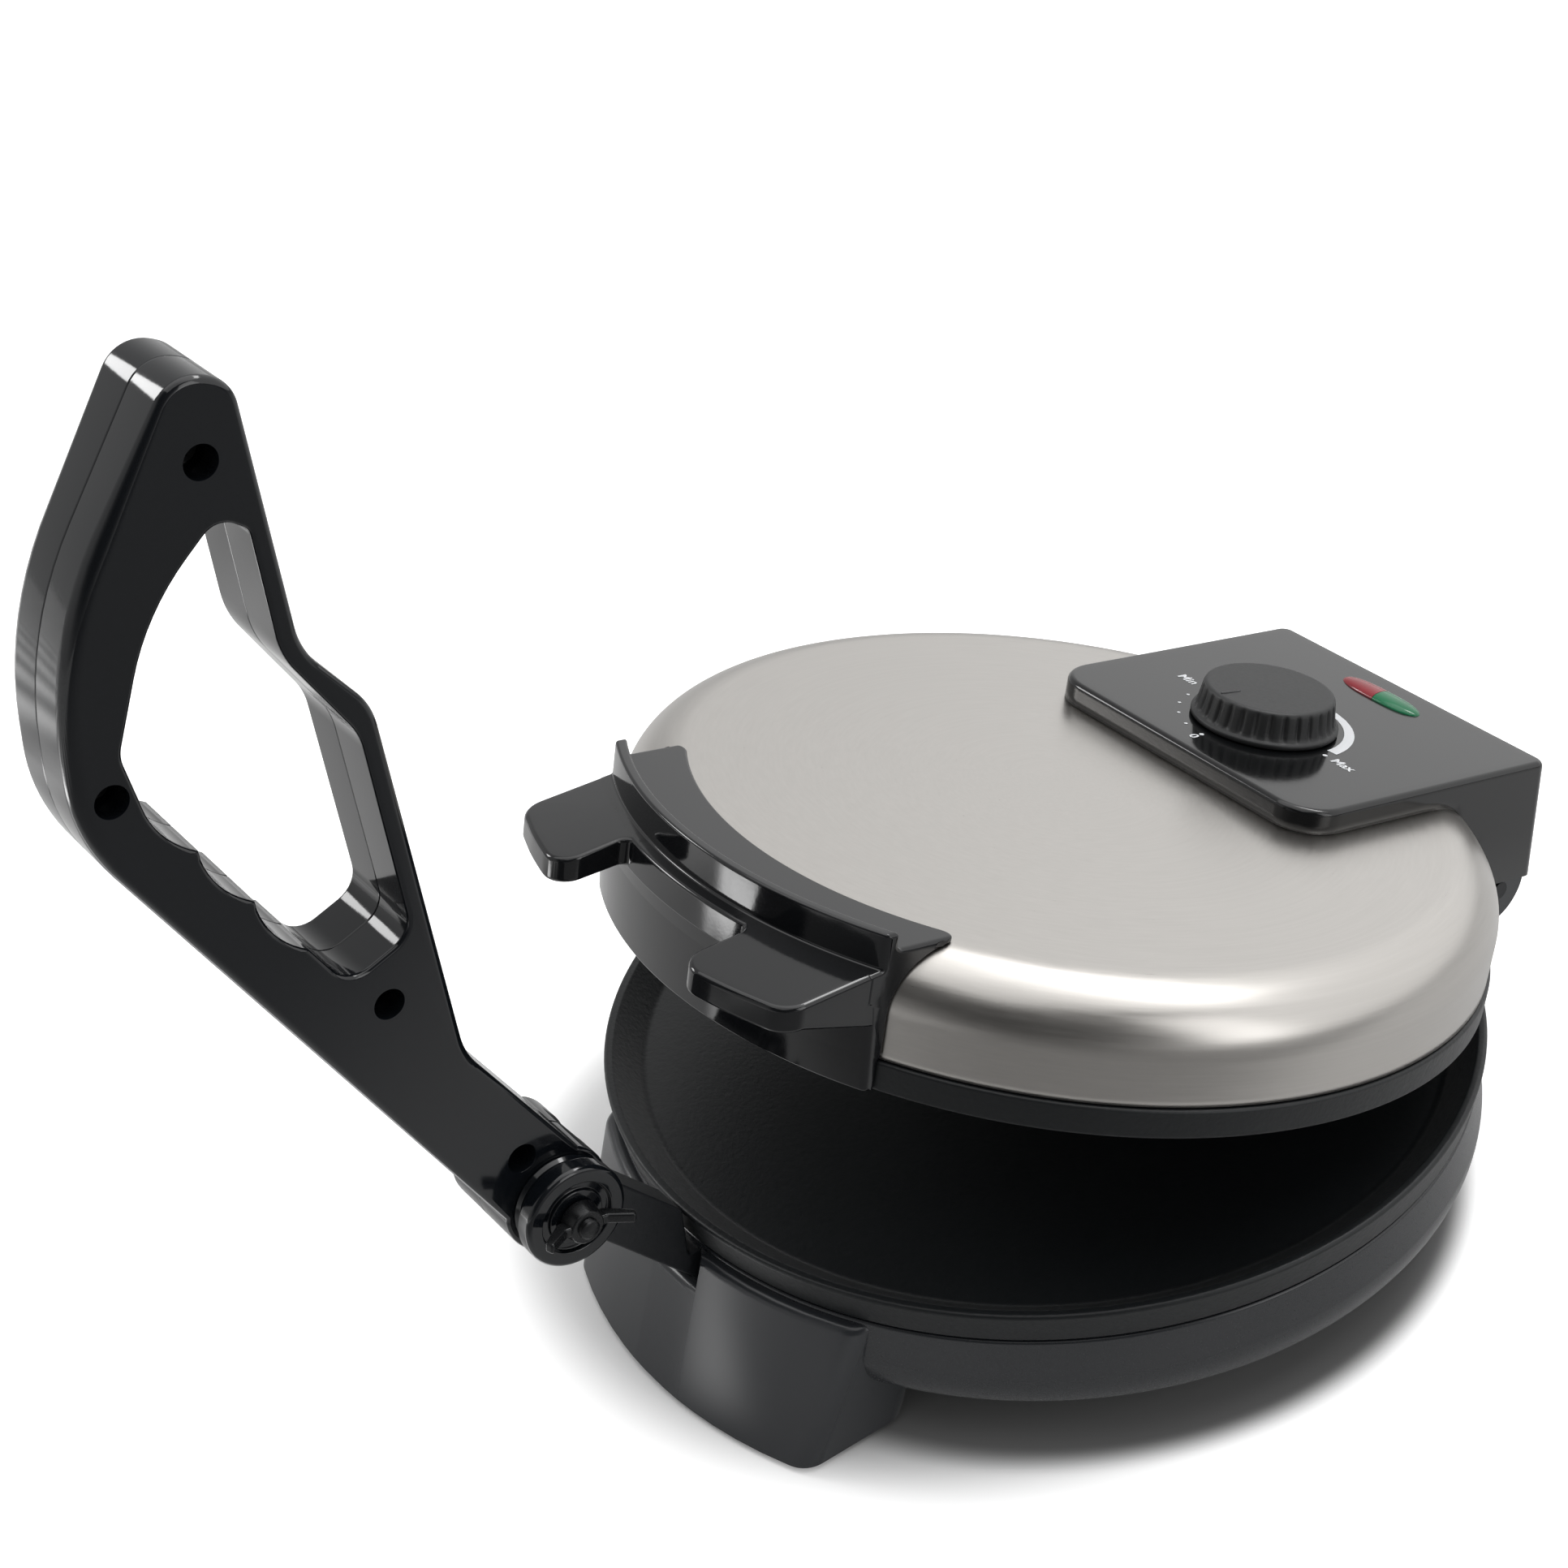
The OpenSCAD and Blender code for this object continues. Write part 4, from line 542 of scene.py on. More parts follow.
# Hub cap, wing nut and bolt on the pivot
capProfile = roundCorners([
    [4.8, 15.15, 0], [14.3, 15.15, 0.4], [13.3, 16.9, 0.6], [13.9, 18.5, 0.5], [15.5, 19.6, 0.8],
    [15.5, 25, 1.6], [10.9, 25, 0.5], [10.6, 23.4, 0.4], [8.4, 23.4, 0.4], [8.2, 24.5, 0.4],
    [3.5, 24.5, 0.2], [3.5, 22, 0], [4.8, 22, 0], [4.8, 15.15, 0]], 6, closed=False)
addPiece("hubCapTurned", [revolve(capProfile, 96)], finishes["leverPhenolic"], "lever",
         ["hub_cap"], place=atPivot)

bolt = {"radius": 3, "head": 6, "headFrom": -20.5, "headTo": -16.5, "pitch": 0.8, "middle": 2.72,
        "depth": 0.24, "from": 22, "to": 31.4, "end": 31.9}
boltProfile = roundCorners([
    [0, bolt["headFrom"], 0], [bolt["head"], bolt["headFrom"], 1.4], [bolt["head"], bolt["headTo"], 0.3],
    [bolt["radius"], bolt["headTo"], 0], [bolt["radius"], bolt["from"], 0]], 5, closed=False)
# Thread: radius = middle + depth * wave(x / pitch - turn / 2 pi), a triangle wave
station = np.linspace(bolt["from"], bolt["to"], 120)[:, None]
turn = np.linspace(0, 2 * np.pi, 36, endpoint=False)[None, :]
wave = 2 * np.abs(2 * ((station / bolt["pitch"] - turn / (2 * np.pi)) % 1) - 1) - 1
radius = bolt["middle"] + bolt["depth"] * wave
thread = np.stack([radius * np.cos(turn), radius * np.sin(turn), station + 0 * turn], -1)
tip = revolve([[2.9, bolt["to"]], [2.3, bolt["end"]], [0, bolt["end"]]], 36)
addPiece("pivotBoltThreaded", [revolve(boltProfile, 48), ringSurface(thread), tip],
         finishes["blackSteel"], "base", ["pivot_bolt"], place=atPivot, sharp=60)

nut = {"foot": 25.3, "height": 5, "bore": 3.05, "thick": 3, "edge": 0.7, "turn": 81,
       "wing": [[7, 0.6, 2], [14.2, 6, 1], [13.2, 8.6, 0.8], [6.5, 4.6, 2]]}
foot = nut["foot"]
rightWing = [[x, foot + rise, corner] for x, rise, corner in nut["wing"]]
leftWing = [[-x, z, corner] for x, z, corner in rightWing[::-1]]
wings = roundCorners([leftWing[-1], *rightWing, *leftWing[:-1]], 6)
wingParts = []
for spots, corners in roundedPlate([wings], -nut["thick"] / 2, nut["thick"] / 2, nut["edge"], 4):
    across, along, thick = spots.T
    bend = radians(nut["turn"])
    wingParts.append((np.column_stack([across * cos(bend) - thick * sin(bend),
                                       across * sin(bend) + thick * cos(bend), along]), corners))
head = foot + nut["height"]
nutBody = revolve(roundCorners([[nut["bore"], foot, 0], [6, foot, 0.4], [5, head, 0.6],
                                [nut["bore"], head, 0], [nut["bore"], foot, 0]], 4, closed=False), 48)
addPiece("wingNutCast", [nutBody, *wingParts], finishes["blackSteel"], "wing_nut",
         ["wing_nut"], place=atPivot)

# Cast arm that carries the pivot: an eye, a sloping arm and a foot
arm = {"eye": 12.5, "bore": 3.1, "half": 6, "edge": 0.8, "slope": 48.2, "open": 42.8,
       "outline": [[-185.5, 92.8, 0], [-126.8, 27.2, 1], [-112, 27.2, 1], [-112, 33.2, 2],
                   [-132.6, 46.5, 2], [-136.6, 46.5, 1], [-136.6, 63.6, 4], [-172.9, 104.2, 0]],
       "foot": [[-14, -131, 2], [14, -131, 2], [14, -112, 2], [-14, -112, 2]],
       "footLow": 23.15, "footTop": 27.15, "footEdge": 0.5}
eye = [pivot["y"], pivot["z"]]
armOutline = np.vstack([
    arcPoints(eye, arm["eye"], arm["open"] - arm["slope"], 360 - arm["slope"] - arm["open"], 40),
    roundCorners(arm["outline"], 5, closed=False)[1:-1]])
bore = holeRim(eye, arm["bore"], 40)
armParts = [(spots[:, [2, 0, 1]], corners)
            for spots, corners in roundedPlate([armOutline, bore], -arm["half"], arm["half"], arm["edge"])]
armParts += roundedPlate([roundCorners(arm["foot"], 4)], arm["footLow"], arm["footTop"],
                         arm["footEdge"], 3)
addPiece("pivotArmCast", armParts, finishes["castIron"], "base", ["lever_bracket"])
print("pivot pieces made")

# Lid handle: a ridge that follows the lid's edge, a ledge at its foot, and two drooping tabs. The
# profile [r, z] is turned round at its end, because moveInwards needs a left-handed outline
handle = {"half": 65, "end": 1.2, "inside": 132.8, "rim": 162, "edge": 1.3, "ridge": 134.8,
          "ledge": 138.8, "ledgeTop": 97.6, "ledgeLow": 87.8, "slope": 0.2074,
          "flareFrom": 22, "fillet": 3, "tip": 112.7, "tipCorner": 5, "bend": 125, "gap": 0.3,
          "flap": 102.8, "crest": 108, "underTop": 102, "sink": 0.15,
          "tabRim": [[29, 7], [39, 0], [43, 0], [47, 0], [51, 0], [64.9, 9]], "tabMiddle": [46.5, -131],
          "tabUnder": [[132.8, 136.6, 138.4, 141, 145, 162], [80, 87, 88.2, 88, 87, 84.5]]}
ledgeRim = handle["ledgeTop"] - handle["slope"] * (handle["ledge"] - handle["ridge"])
spine = np.vstack([
    [[132.4, 61.2], [132.4, 70.2], [131.4, 71.2]],
    arcPoints(shoulderSpot, cover["shoulder"] + handle["gap"], 0, 88, 20),
    roundCorners([[113, 101.3, 0], [handle["tip"], handle["flap"], 0.9], [131.3, handle["flap"], 1.8],
                  [131.3, handle["crest"], 0.9], [handle["ridge"], handle["crest"], 0.9],
                  [handle["ridge"], handle["ledgeTop"], 0.8], [handle["ledge"], ledgeRim, 1.1],
                  [handle["ledge"], handle["ledgeLow"], 0.6], [137.2, 86.9, 0.5], [136.6, 82, 4],
                  [136.0, 72, 5], [135.4, 61, 0.9], [132.4, 61.2, 0]], 5, closed=False)[:-1]])[::-1]


# Spine: for each x across the lid the profile (r, z) stands at y = -sqrt(r^2 - x^2); its ends round
# inwards, and near them the flap's tip draws back on a quarter circle
def spineParts():
    half, tip, corner, bend = (handle[key] for key in ("half", "tip", "tipCorner", "bend"))
    turn = np.radians(np.linspace(90, 0, 6))
    ends = half - handle["end"] * (1 - np.sin(turn))
    shrink = handle["end"] * (1 - np.cos(turn))
    near = np.linspace(half - corner, ends[-1], 9)[:-1]
    inner = np.linspace(corner - half, half - corner, 57)[1:-1]
    across = np.concatenate([-ends, -near[::-1], inner, near, ends[::-1]])
    inset = np.concatenate([shrink, 0 * near, 0 * inner, 0 * near, shrink[::-1]])
    rings = []
    for x, d in zip(across, inset):
        radius, height = moveInwards(spine, d).T
        back = corner - sqrt(max(corner ** 2 - max(abs(x) - half + corner, 0) ** 2, 0))
        drawn = np.where(radius < bend, tip + back + (radius - tip) * (bend - tip - back) / (bend - tip),
                         radius)
        isUnder = (radius < bend) & (height < handle["underTop"])
        rise = shoulderHeight(drawn, handle["gap"]) - shoulderHeight(radius, handle["gap"])
        height = height + isUnder * rise
        rings.append(np.column_stack([np.full(len(drawn), x), -np.sqrt(drawn ** 2 - x ** 2), height]))
    parts = [ringSurface(rings)]
    for ring in (rings[0], rings[-1]):
        flat, corners = flatSheet([ring[:, 1:]], 0)
        parts.append((np.column_stack([np.full(len(ring), ring[0, 0]), flat[:, :2]]), corners))
    return parts


# Tab: outline rings shrink to its middle above and below; heights follow the distance from the lid's axis
def tabParts(side):
    rim, inside, ledge = handle["rim"], handle["inside"], handle["ledge"] - handle["sink"]
    start, stop, flare = handle["tabRim"][0][0], handle["tabRim"][-1][0], handle["flareFrom"]
    outer = [[x, -sqrt(rim ** 2 - x ** 2), corner] for x, corner in handle["tabRim"]]
    inner = [[x, -sqrt(inside ** 2 - x ** 2), 0] for x in np.linspace(stop, flare, 12)]
    flank = [[flare, -sqrt(ledge ** 2 - flare ** 2), 0],
             [start, -sqrt(ledge ** 2 - start ** 2), handle["fillet"]]]
    plan = roundCorners(outer + inner + flank, 8)
    middle = np.array(handle["tabMiddle"])
    edge = handle["edge"]
    turn = np.radians(np.linspace(0, 90, 7))

    # Above, z falls from the ridge's foot to the rim; below, it rises from the skirt to a flat lip
    def ring(share, inset):
        spots = moveInwards(plan, inset)
        spots = middle + (spots - middle) * share
        radius = np.linalg.norm(spots, axis=1)
        above = handle["ledgeTop"] - handle["slope"] * (radius - handle["ridge"])
        below = np.interp(radius, *handle["tabUnder"])
        return spots, above, below

    steps = [(share, turn[-1]) for share in (0, 0.25, 0.5, 0.75, 0.92)] + [(1, t) for t in turn[::-1]]
    lower, upper = [], []
    for share, t in steps:
        spots, above, below = ring(share, edge * (1 - cos(t)))
        lower.append(np.column_stack([spots, below + edge * (1 - sin(t))]))
        upper.append(np.column_stack([spots, above - edge * (1 - sin(t))]))
    spots, corners = ringSurface(lower + upper[::-1])
    spots[:, 0] *= side
    return spots, corners


addPiece("lidHandleMoulded", spineParts() + [tabParts(1), tabParts(-1)],
         finishes["handlePlastic"], "lid", ["lid_handle"], place=openLid, sharp=50)
print("lid handle made")

# Control box, its dial print, knob and lenses
box = {"half": 58, "front": 42, "rear": 147, "lean": 6, "top": 108.7, "foot": 68.4, "corner": 14,
       "rearCorner": 4, "edge": 2.0, "wall": 2.4, "arch": 15.4, "archHalf": 48, "archFrom": 140,
       "gap": 0.15, "slack": 0.3, "middle": 94.5, "sideFrom": 0.12, "sideTo": 0.95}


# Box plan at one height: the rear wall stands further out at the foot
def boxPlan(lean):
    rear = box["rear"] + lean
    sides = np.linspace(box["sideFrom"], box["sideTo"], 14)[1:-1]
    right = [[box["half"], box["front"] + (rear - box["front"]) * s, 0] for s in sides]
    across = np.linspace(1, -1, 25)[1:-1] * (box["half"] - box["rearCorner"])
    back = [[x, rear, 0] for x in across]
    corners = [[-box["half"], box["front"], box["corner"]], [box["half"], box["front"], box["corner"]],
               *right, [box["half"], rear, box["rearCorner"]], *back,
               [-box["half"], rear, box["rearCorner"]], *[[-x, y, 0] for x, y, r in right[::-1]]]
    return roundCorners(corners, 10)


# Skin of the box: its lower edge rests on the cover's round shoulder and goes over the hinge barrels;
# its upper edge is a quarter round, and the top closes in to the middle
def boxSkin():
    top = boxPlan(0)
    foot = boxPlan(box["lean"])
    distance = np.linalg.norm(foot, axis=1)
    within = np.clip(distance, shoulderSpot[0], cover["radius"])
    rest = np.where(distance < cover["radius"] + box["slack"], shoulderHeight(within, 0) + box["gap"],
                    box["foot"])
    reach = np.clip(box["arch"] ** 2 - (foot[:, 1] - hinge["y"]) ** 2, 0, None)
    arch = hinge["z"] + np.sqrt(reach)
    isArch = (np.abs(foot[:, 0]) < box["archHalf"]) & (foot[:, 1] > box["archFrom"])
    low = np.maximum(rest, np.where(isArch, arch, box["foot"]))
    turn = np.radians(np.linspace(0, 90, 7))
    heights = [low + (box["top"] - box["edge"] - low) * s for s in (0, 0.5)]
    heights += [0 * low + box["top"] - box["edge"] + box["edge"] * sin(t) for t in turn]
    insets = [0, 0] + [box["edge"] * (1 - cos(t)) for t in turn]
    rings = []
    for height, inset in zip(heights, insets):
        share = ((height - box["foot"]) / (box["top"] - box["foot"]))[:, None]
        rings.append(np.column_stack([moveInwards(foot + (top - foot) * share, inset), height]))
    middle = np.array([0, box["middle"], box["top"]])
    for share in (0.95, 0.6, 0):
        rings.append(middle + (rings[8] - middle) * share)
    return ringSurface(rings)


addPiece("controlBoxMoulded", [boxSkin()], finishes["boxPlastic"], "lid", ["control_box"],
         wall=box["wall"], place=openLid, sharp=50)

dial = {"y": 80, "low": 109.1, "height": 11, "flutes": 30, "fluteDepth": 0.75, "fluteWidth": 0.16,
        "crown": 19, "fluteFade": [[2.2, 2.8, 8.8, 10.3], [0, 1, 1, 0]],
        "profile": [[0, 0], [22.6, 0], [23, 0.4], [23, 1.3], [22.8, 1.7], [22.2, 2.0], [21.9, 2.4],
                    [21.6, 3.4], [21.2, 5.5], [20.9, 7.5], [20.6, 9.3], [20.4, 10.1], [20.1, 10.6],
                    [19.5, 10.95], [18.8, 11], [15, 11], [8, 11.15], [0, 11.2]]}


# Knob: r(z, t) = body(z) - depth(z) * groove(t), where groove is exp(-(phase / width)^2) at each flute
def knobSurface():
    body = np.array(dial["profile"])
    depth = np.interp(body[:, 1], *dial["fluteFade"])[:, None]
    depth = depth * (body[:, :1] > dial["crown"])
    turn = np.linspace(0, 2 * np.pi, 480, endpoint=False)[None, :]
    phase = (turn * dial["flutes"] / (2 * np.pi)) % 1 - 0.5
    groove = np.exp(-(phase / dial["fluteWidth"]) ** 2)
    radius = body[:, :1] - dial["fluteDepth"] * depth * groove
    height = body[:, 1:] + dial["low"]
    rings = np.stack([radius * np.cos(turn), radius * np.sin(turn) + dial["y"], height + 0 * turn], -1)
    return ringSurface(rings)


addPiece("dialKnobFluted", [knobSurface()], finishes["knobPlastic"], "knob",
         ["thermostat_knob"], place=openLid, sharp=50)

pointer = {"from": 11.5, "to": 18.6, "half": 0.45, "foot": 0.08, "rise": 0.25, "angle": 262}


# Pointer on the knob: a slim ridge whose height falls as 1 - v^2 over its width
def pointerRidge():
    along = np.linspace(pointer["from"], pointer["to"], 12)[:, None]
    across = np.linspace(-1, 1, 7)[None, :]
    foot = dial["low"] + dial["height"] + pointer["foot"]
    height = foot + pointer["rise"] * (1 - across ** 2) + 0 * along
    aim = radians(pointer["angle"])
    side = across * pointer["half"]
    spots = np.stack([along * cos(aim) - side * sin(aim), dial["y"] + along * sin(aim) + side * cos(aim),
                      height], -1)
    return openSheet(spots)


addPiece("knobPointer", [pointerRidge()], finishes["leverPhenolic"], "knob",
         place=openLid)


inkHeight = box["top"] + 0.08


# Ink strip on the box: a ring sector from angle first to last whose width may grow along it
def inkStrip(first, last, innerFirst, innerLast, outer):
    angle = np.radians(np.linspace(first, last, 40))
    inner = np.linspace(innerFirst, innerLast, 40)
    rows = [np.column_stack([r * np.cos(angle), dial["y"] + r * np.sin(angle), inkHeight + 0 * angle])
            for r in (inner, outer)]
    return openSheet(np.stack(rows))


# Ink dot: a small disc on the box
def inkDot(angle, distance, radius):
    middle = [distance * cos(radians(angle)), dial["y"] + distance * sin(radians(angle))]
    rim = arcPoints(middle, radius, 0, 360, 20)[:-1]
    return flatSheet([rim], inkHeight)


marks = [inkDot(270 - a, 26.7, 0.55) for a in (18, 36, 53.5, 71)]
marks += [inkDot(270, 26.5, 0.75), inkDot(0, 26.9, 0.8), inkStrip(165, 8, 26.6, 24.6, 28.2)]
addPiece("dialScaleInk", marks, finishes["whiteInk"], "lid", place=openLid)


# Word on the dial's scale, made a mesh and laid on the box
def inkWord(name, words, middle, size):
    curve = bpy.data.curves.new(name, "FONT")
    curve.body = words
    curve.size = size
    curve.align_x = "CENTER"
    curve.align_y = "CENTER"
    curve.offset = 0.02 * size
    holder = addObject(name + "Curve", curve)
    drawn = holder.evaluated_get(bpy.context.evaluated_depsgraph_get())
    mesh = bpy.data.meshes.new_from_object(drawn)
    bpy.data.objects.remove(holder)
    spots = np.empty(len(mesh.vertices) * 3)
    mesh.vertices.foreach_get("co", spots)
    spots = spots.reshape(-1, 3) + np.array([*middle, inkHeight])
    faces = [list(face.vertices) for face in mesh.polygons]
    bpy.data.meshes.remove(mesh)
    inkMesh = bpy.data.meshes.new(name)
    inkMesh.from_pydata((openLid(spots) * 0.001).tolist(), [], faces)
    inkMesh.materials.append(finishes["whiteInk"])
    word = addObject(name, inkMesh)
    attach(word, "lid")


inkWord("inkMin", "Min", (-34.5, dial["y"]), 5.0)
inkWord("inkMax", "Max", (34.5, dial["y"]), 5.0)
inkWord("inkZero", "0", (0, dial["y"] - 29.8), 4.6)


lens = {"y": 132.7, "long": 16.2, "wide": 4.6, "rise": 1.9, "foot": 0.5, "under": 0.3, "blunt": 3.2,
        "gap": 0.1, "dome": 0.4, "taper": 0.7}


# Lens half: a pillow over the pill-shaped window, z = foot + rise * (1 - v^2)^dome, with v across it;
# the half width is wide * (1 - (u / long)^blunt)^0.5, and its share to the power taper lowers the ends
def lensHalf(side):
    share = np.sin(np.linspace(0, np.pi / 2, 30))[:, None]
    along = share * (lens["long"] - lens["gap"]) + lens["gap"]
    half = lens["wide"] * np.sqrt(np.clip(1 - (along / lens["long"]) ** lens["blunt"], 0, None))
    across = np.sin(np.linspace(-np.pi / 2, np.pi / 2, 25))[None, :]
    swell = np.clip(1 - across ** 2, 0, None) ** lens["dome"] * (half / lens["wide"]) ** lens["taper"]
    height = box["top"] - lens["foot"] + (lens["rise"] + lens["foot"]) * swell
    spots = np.stack([side * along + 0 * across, lens["y"] + half * across, height], -1)
    under = spots.copy()
    under[..., 2] = box["top"] - lens["foot"] - lens["under"]
    grids = [spots, under, np.stack([under[0], spots[0]])]
    grids += [np.stack([under[:, i], spots[:, i]]) for i in (0, -1)]
    return [openSheet(grid) for grid in grids]


addPiece("lensRed", lensHalf(-1), finishes["redLens"], "lid", ["red_lens"], place=openLid)
addPiece("lensGreen", lensHalf(1), finishes["greenLens"], "lid", ["green_lens"],
         place=openLid)
print("control box, dial and lenses made")

# Floor: a square of pale paper, with a painted shadow under the part: its colour is darker there
floorLook = {"reach": 6.0, "paper": 0.88, "paintedShadowTone": 0.24, "underFrom": 0.124, "underTo": 0.136,
             "glow": 0.62, "glowFrom": 0.125, "glowTo": 0.137,
             "shade": (-0.02, -0.03, 0), "shadeFrom": 0.118, "shadeTo": 0.15}
# What the part's gloss sees of it, painted reflections that no lamp casts: a darker front, and a glow seen
# only in reflections as a streak, a banded panel and one bright patch
mirrorLook = {"paper": 0.74, "front": (0.84, -0.54, 0), "darkFrontReflection": 0.3, "frontFrom": 0.18,
              "frontTo": 0.34, "paintedStreak": 2.2, "streakSide": (0.76, -0.65, 0), "streakAt": 0.128,
              "streakHalf": 0.028, "streakFrom": 0.1, "streakTo": 0.16, "paintedPanel": 1.3,
              "panelSide": (-0.65, -0.76, 0), "panelFrom": 0.5, "panelTo": 0.95, "panelScale": 1.7,
              "panelBend": 1.5, "paintedGlint": 7.5, "patchSpot": (-0.325, -0.695, 0), "patchFrom": 0.04,
              "patchTo": 0.13}
reach = floorLook["reach"]
floorMesh = bpy.data.meshes.new("studioFloor")
floorMesh.from_pydata([(-reach, -reach, 0), (reach, -reach, 0), (reach, reach, 0), (-reach, reach, 0)],
                      [], [(0, 1, 2, 3)])
floor = addObject("studioFloor", floorMesh)


# The paper's colour: plain(distance) for most rays, darker under the part as a painted shadow, and for
# mirrored ones it falls towards the front as a painted darker reflection
def paperColour(tree, spot, isGlossy):
    distance = vectorStep(tree, "LENGTH", spot)["Value"]
    plain = blendOver(tree, distance, floorLook["underFrom"], floorLook["underTo"],
                      floorLook["paintedShadowTone"], floorLook["paper"])
    ahead = vectorStep(tree, "DOT_PRODUCT", spot, mirrorLook["front"])["Value"]
    mirrored = blendOver(tree, ahead, mirrorLook["frontFrom"], mirrorLook["frontTo"],
                         mirrorLook["paper"], mirrorLook["darkFrontReflection"])
    return pickOne(tree, isGlossy, plain, mirrored)


# The glow that the camera sees: it starts past the part, so the part's shadow stays; it also stays off in a
# disc shifted towards the front, which adds painted shade to that shadow there
def paperGlow(tree, spot):
    distance = vectorStep(tree, "LENGTH", spot)["Value"]
    # Painted shade: no glow near the shifted centre in front of the part
    away = vectorStep(tree, "DISTANCE", spot, floorLook["shade"])["Value"]
    glow = blendOver(tree, distance, floorLook["glowFrom"], floorLook["glowTo"], 0, floorLook["glow"])
    return mathStep(tree, "MULTIPLY", glow,
                    blendOver(tree, away, floorLook["shadeFrom"], floorLook["shadeTo"], 0, 1))


# Painted highlights, the glow that only gloss sees: streak + panel + patch, each a product of smooth steps
# over the floor
def mirroredLight(tree, spot):
    look = mirrorLook
    aside = vectorStep(tree, "DOT_PRODUCT", spot, look["streakSide"])["Value"]
    leftwards = vectorStep(tree, "DOT_PRODUCT", spot, look["panelSide"])["Value"]
    at, half = look["streakAt"], look["streakHalf"]
    paintedStreak = mathStep(tree, "MULTIPLY", blendOver(tree, aside, at - half, at, 0, look["paintedStreak"]),
                      blendOver(tree, aside, at, at + half, 1, 0))
    paintedStreak = mathStep(tree, "MULTIPLY", paintedStreak,
                      blendOver(tree, leftwards, look["streakFrom"], look["streakTo"], 0, 1))
    bands = addNode(tree, "ShaderNodeTexWave", {"Scale": look["panelScale"],
                                                "Distortion": look["panelBend"], "Vector": spot})
    paintedPanel = mathStep(tree, "MULTIPLY", bands.outputs["Fac"],
                     blendOver(tree, leftwards, look["panelFrom"], look["panelTo"], 0, look["paintedPanel"]))
    toPatch = vectorStep(tree, "DISTANCE", spot, look["patchSpot"])["Value"]
    paintedGlint = blendOver(tree, toPatch, look["patchFrom"], look["patchTo"], look["paintedGlint"], 0)
    return mathStep(tree, "ADD", mathStep(tree, "ADD", paintedStreak, paintedPanel), paintedGlint)


paper, tree, shader = newFinish("studioPaper")
shader.inputs["Roughness"].default_value = 0.9
shader.inputs["Specular IOR Level"].default_value = 0.1
shader.inputs["Emission Color"].default_value = (1, 1, 1, 1)
rays = addNode(tree, "ShaderNodeLightPath").outputs
flat = addNode(tree, "ShaderNodeTexCoord").outputs["Object"]
tree.links.new(paperColour(tree, flat, rays["Is Glossy Ray"]), shader.inputs["Base Color"])
shown = mathStep(tree, "MULTIPLY", rays["Is Camera Ray"], paperGlow(tree, flat))
# Painted highlights: the floor glows for reflected rays only
caught = mathStep(tree, "MULTIPLY", rays["Is Glossy Ray"], mirroredLight(tree, flat))
tree.links.new(mathStep(tree, "ADD", shown, caught), shader.inputs["Emission Strength"])
floorMesh.materials.append(paper)

# World: white to the eye; mirrored, brighter to the right, with a dark wall in front of the part
worldLook = {"fill": 0.36, "left": 0.6, "right": 1.3, "across": (0.536, 0.844, 0), "acrossFrom": -0.4,
             "acrossTo": 0.6, "wall": 0.1, "wallSide": (0.62, -0.45, 0.64), "wallEdge": 0.5,
             "wallCore": 0.88}
world = bpy.data.worlds.new("studioWorld")
bpy.context.scene.world = world
world.use_nodes = True
tree = world.node_tree
back = tree.nodes["Background"]
back.inputs["Color"].default_value = (1, 1, 1, 1)
rays = addNode(tree, "ShaderNodeLightPath").outputs
aim = addNode(tree, "ShaderNodeTexCoord").outputs["Generated"]
isSeen = mathStep(tree, "MAXIMUM", rays["Is Camera Ray"], rays["Is Transmission Ray"])
plain = blendOver(tree, isSeen, 0, 1, worldLook["fill"], 1)
towards = vectorStep(tree, "DOT_PRODUCT", aim, worldLook["wallSide"])["Value"]
wall = blendOver(tree, towards, worldLook["wallEdge"], worldLook["wallCore"], 1, worldLook["wall"])
sideways = vectorStep(tree, "DOT_PRODUCT", aim, worldLook["across"])["Value"]
backdrop = blendOver(tree, sideways, worldLook["acrossFrom"], worldLook["acrossTo"],
                     worldLook["left"], worldLook["right"])
mirrored = mathStep(tree, "MULTIPLY", wall, backdrop)
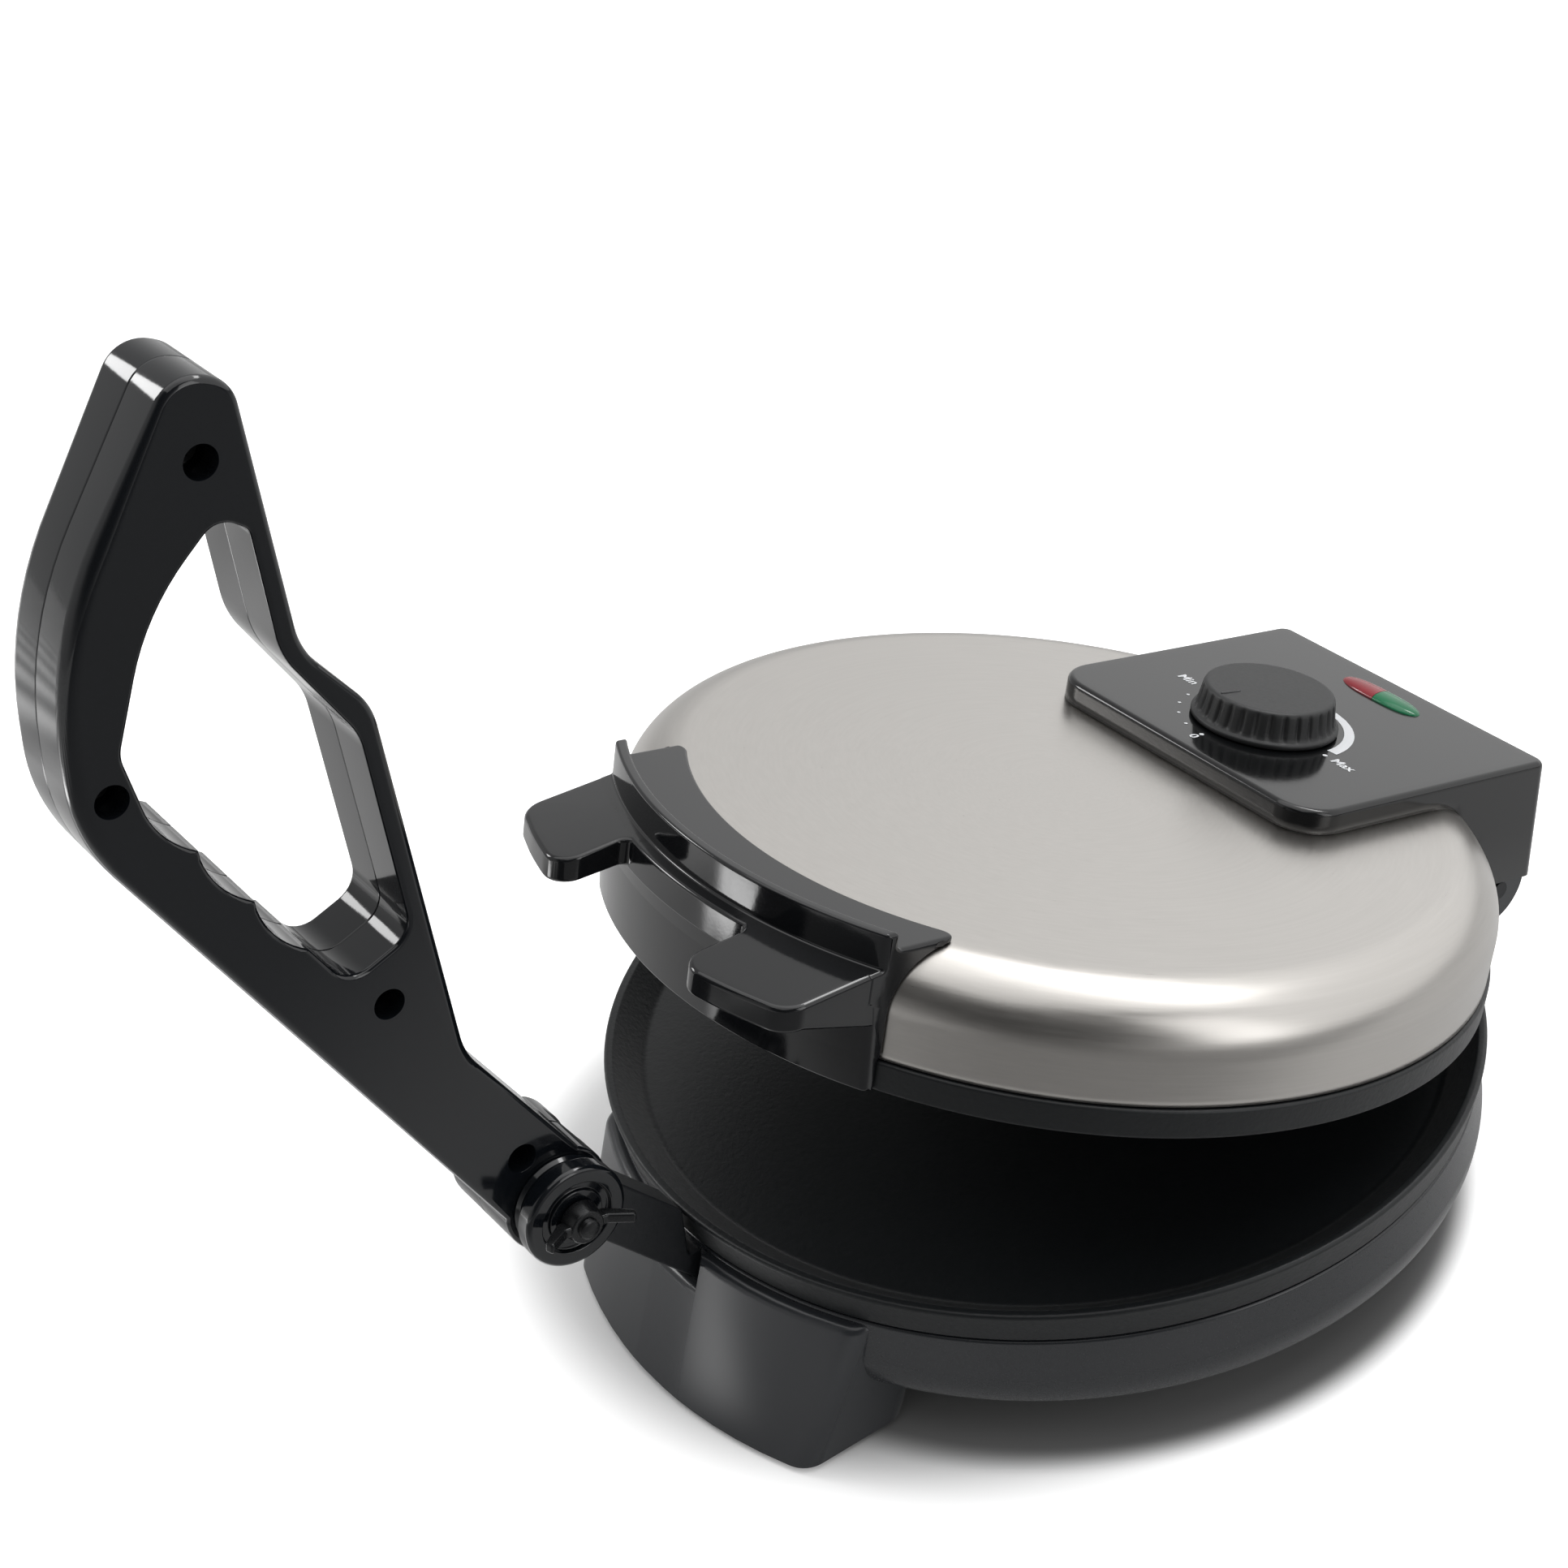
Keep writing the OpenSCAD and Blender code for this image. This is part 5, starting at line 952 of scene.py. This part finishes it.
tree.links.new(pickOne(tree, rays["Is Glossy Ray"], plain, mirrored), back.inputs["Strength"])


# Soft box: an area light at a place in metres, aimed at a point
def softBox(name, place, aim, size, power):
    light = bpy.data.lights.new(name, "AREA")
    light.shape = "RECTANGLE"
    light.size, light.size_y = size
    light.energy = power
    holder = addObject(name, light)
    holder.visible_camera = False
    holder.location = place
    holder.rotation_euler = (Vector(aim) - Vector(place)).to_track_quat("-Z", "Y").to_euler()


softBoxes = {
    "overheadBox": {"place": (0, 0.1, 1.9), "aim": (0, 0, 0.05), "size": (2.4, 2.4), "power": 21},
    "topStrip": {"place": (0, 0.75, 1.45), "aim": (0, 0, 0.1), "size": (0.9, 0.25), "power": 6},
    "leftLamp": {"place": (-1.15, -0.7, 0.95), "aim": (0, -0.1, 0.1), "size": (0.4, 0.4), "power": 5},
    "rightBox": {"place": (1.5, 0.3, 0.8), "aim": (0, 0, 0.1), "size": (0.6, 1.2), "power": 4},
}
for name, lamp in softBoxes.items():
    softBox(name, **lamp)

# Camera: turned about the part, raised and rolled in degrees, then shifted in metres
look = {"turn": 57.59, "rise": 33.08, "roll": -6.19, "lens": 69.42, "sensor": 36, "away": 0.93058,
        "right": -0.07834, "up": 0.07009, "height": 0.06}
turn, rise, roll = (radians(look[key]) for key in ("turn", "rise", "roll"))
backward = Vector((sin(turn) * cos(rise), -cos(turn) * cos(rise), sin(rise)))
level = Vector((cos(turn), sin(turn), 0))
upward = backward.cross(level)
rightward = level * cos(roll) + upward * sin(roll)
upward = -level * sin(roll) + upward * cos(roll)
spot = backward * look["away"] + rightward * look["right"] + upward * look["up"]
spot.z += look["height"]
camera = bpy.data.cameras.new("photoCamera")
camera.lens = look["lens"]
camera.sensor_width = look["sensor"]
camera.clip_end = 50
holder = addObject("photoCamera", camera)
axes = Matrix((rightward, upward, backward)).transposed().to_4x4()
holder.matrix_world = Matrix.Translation(spot) @ axes
bpy.context.scene.camera = holder
bpy.context.scene.view_settings.view_transform = "Standard"
print("studio and camera set")
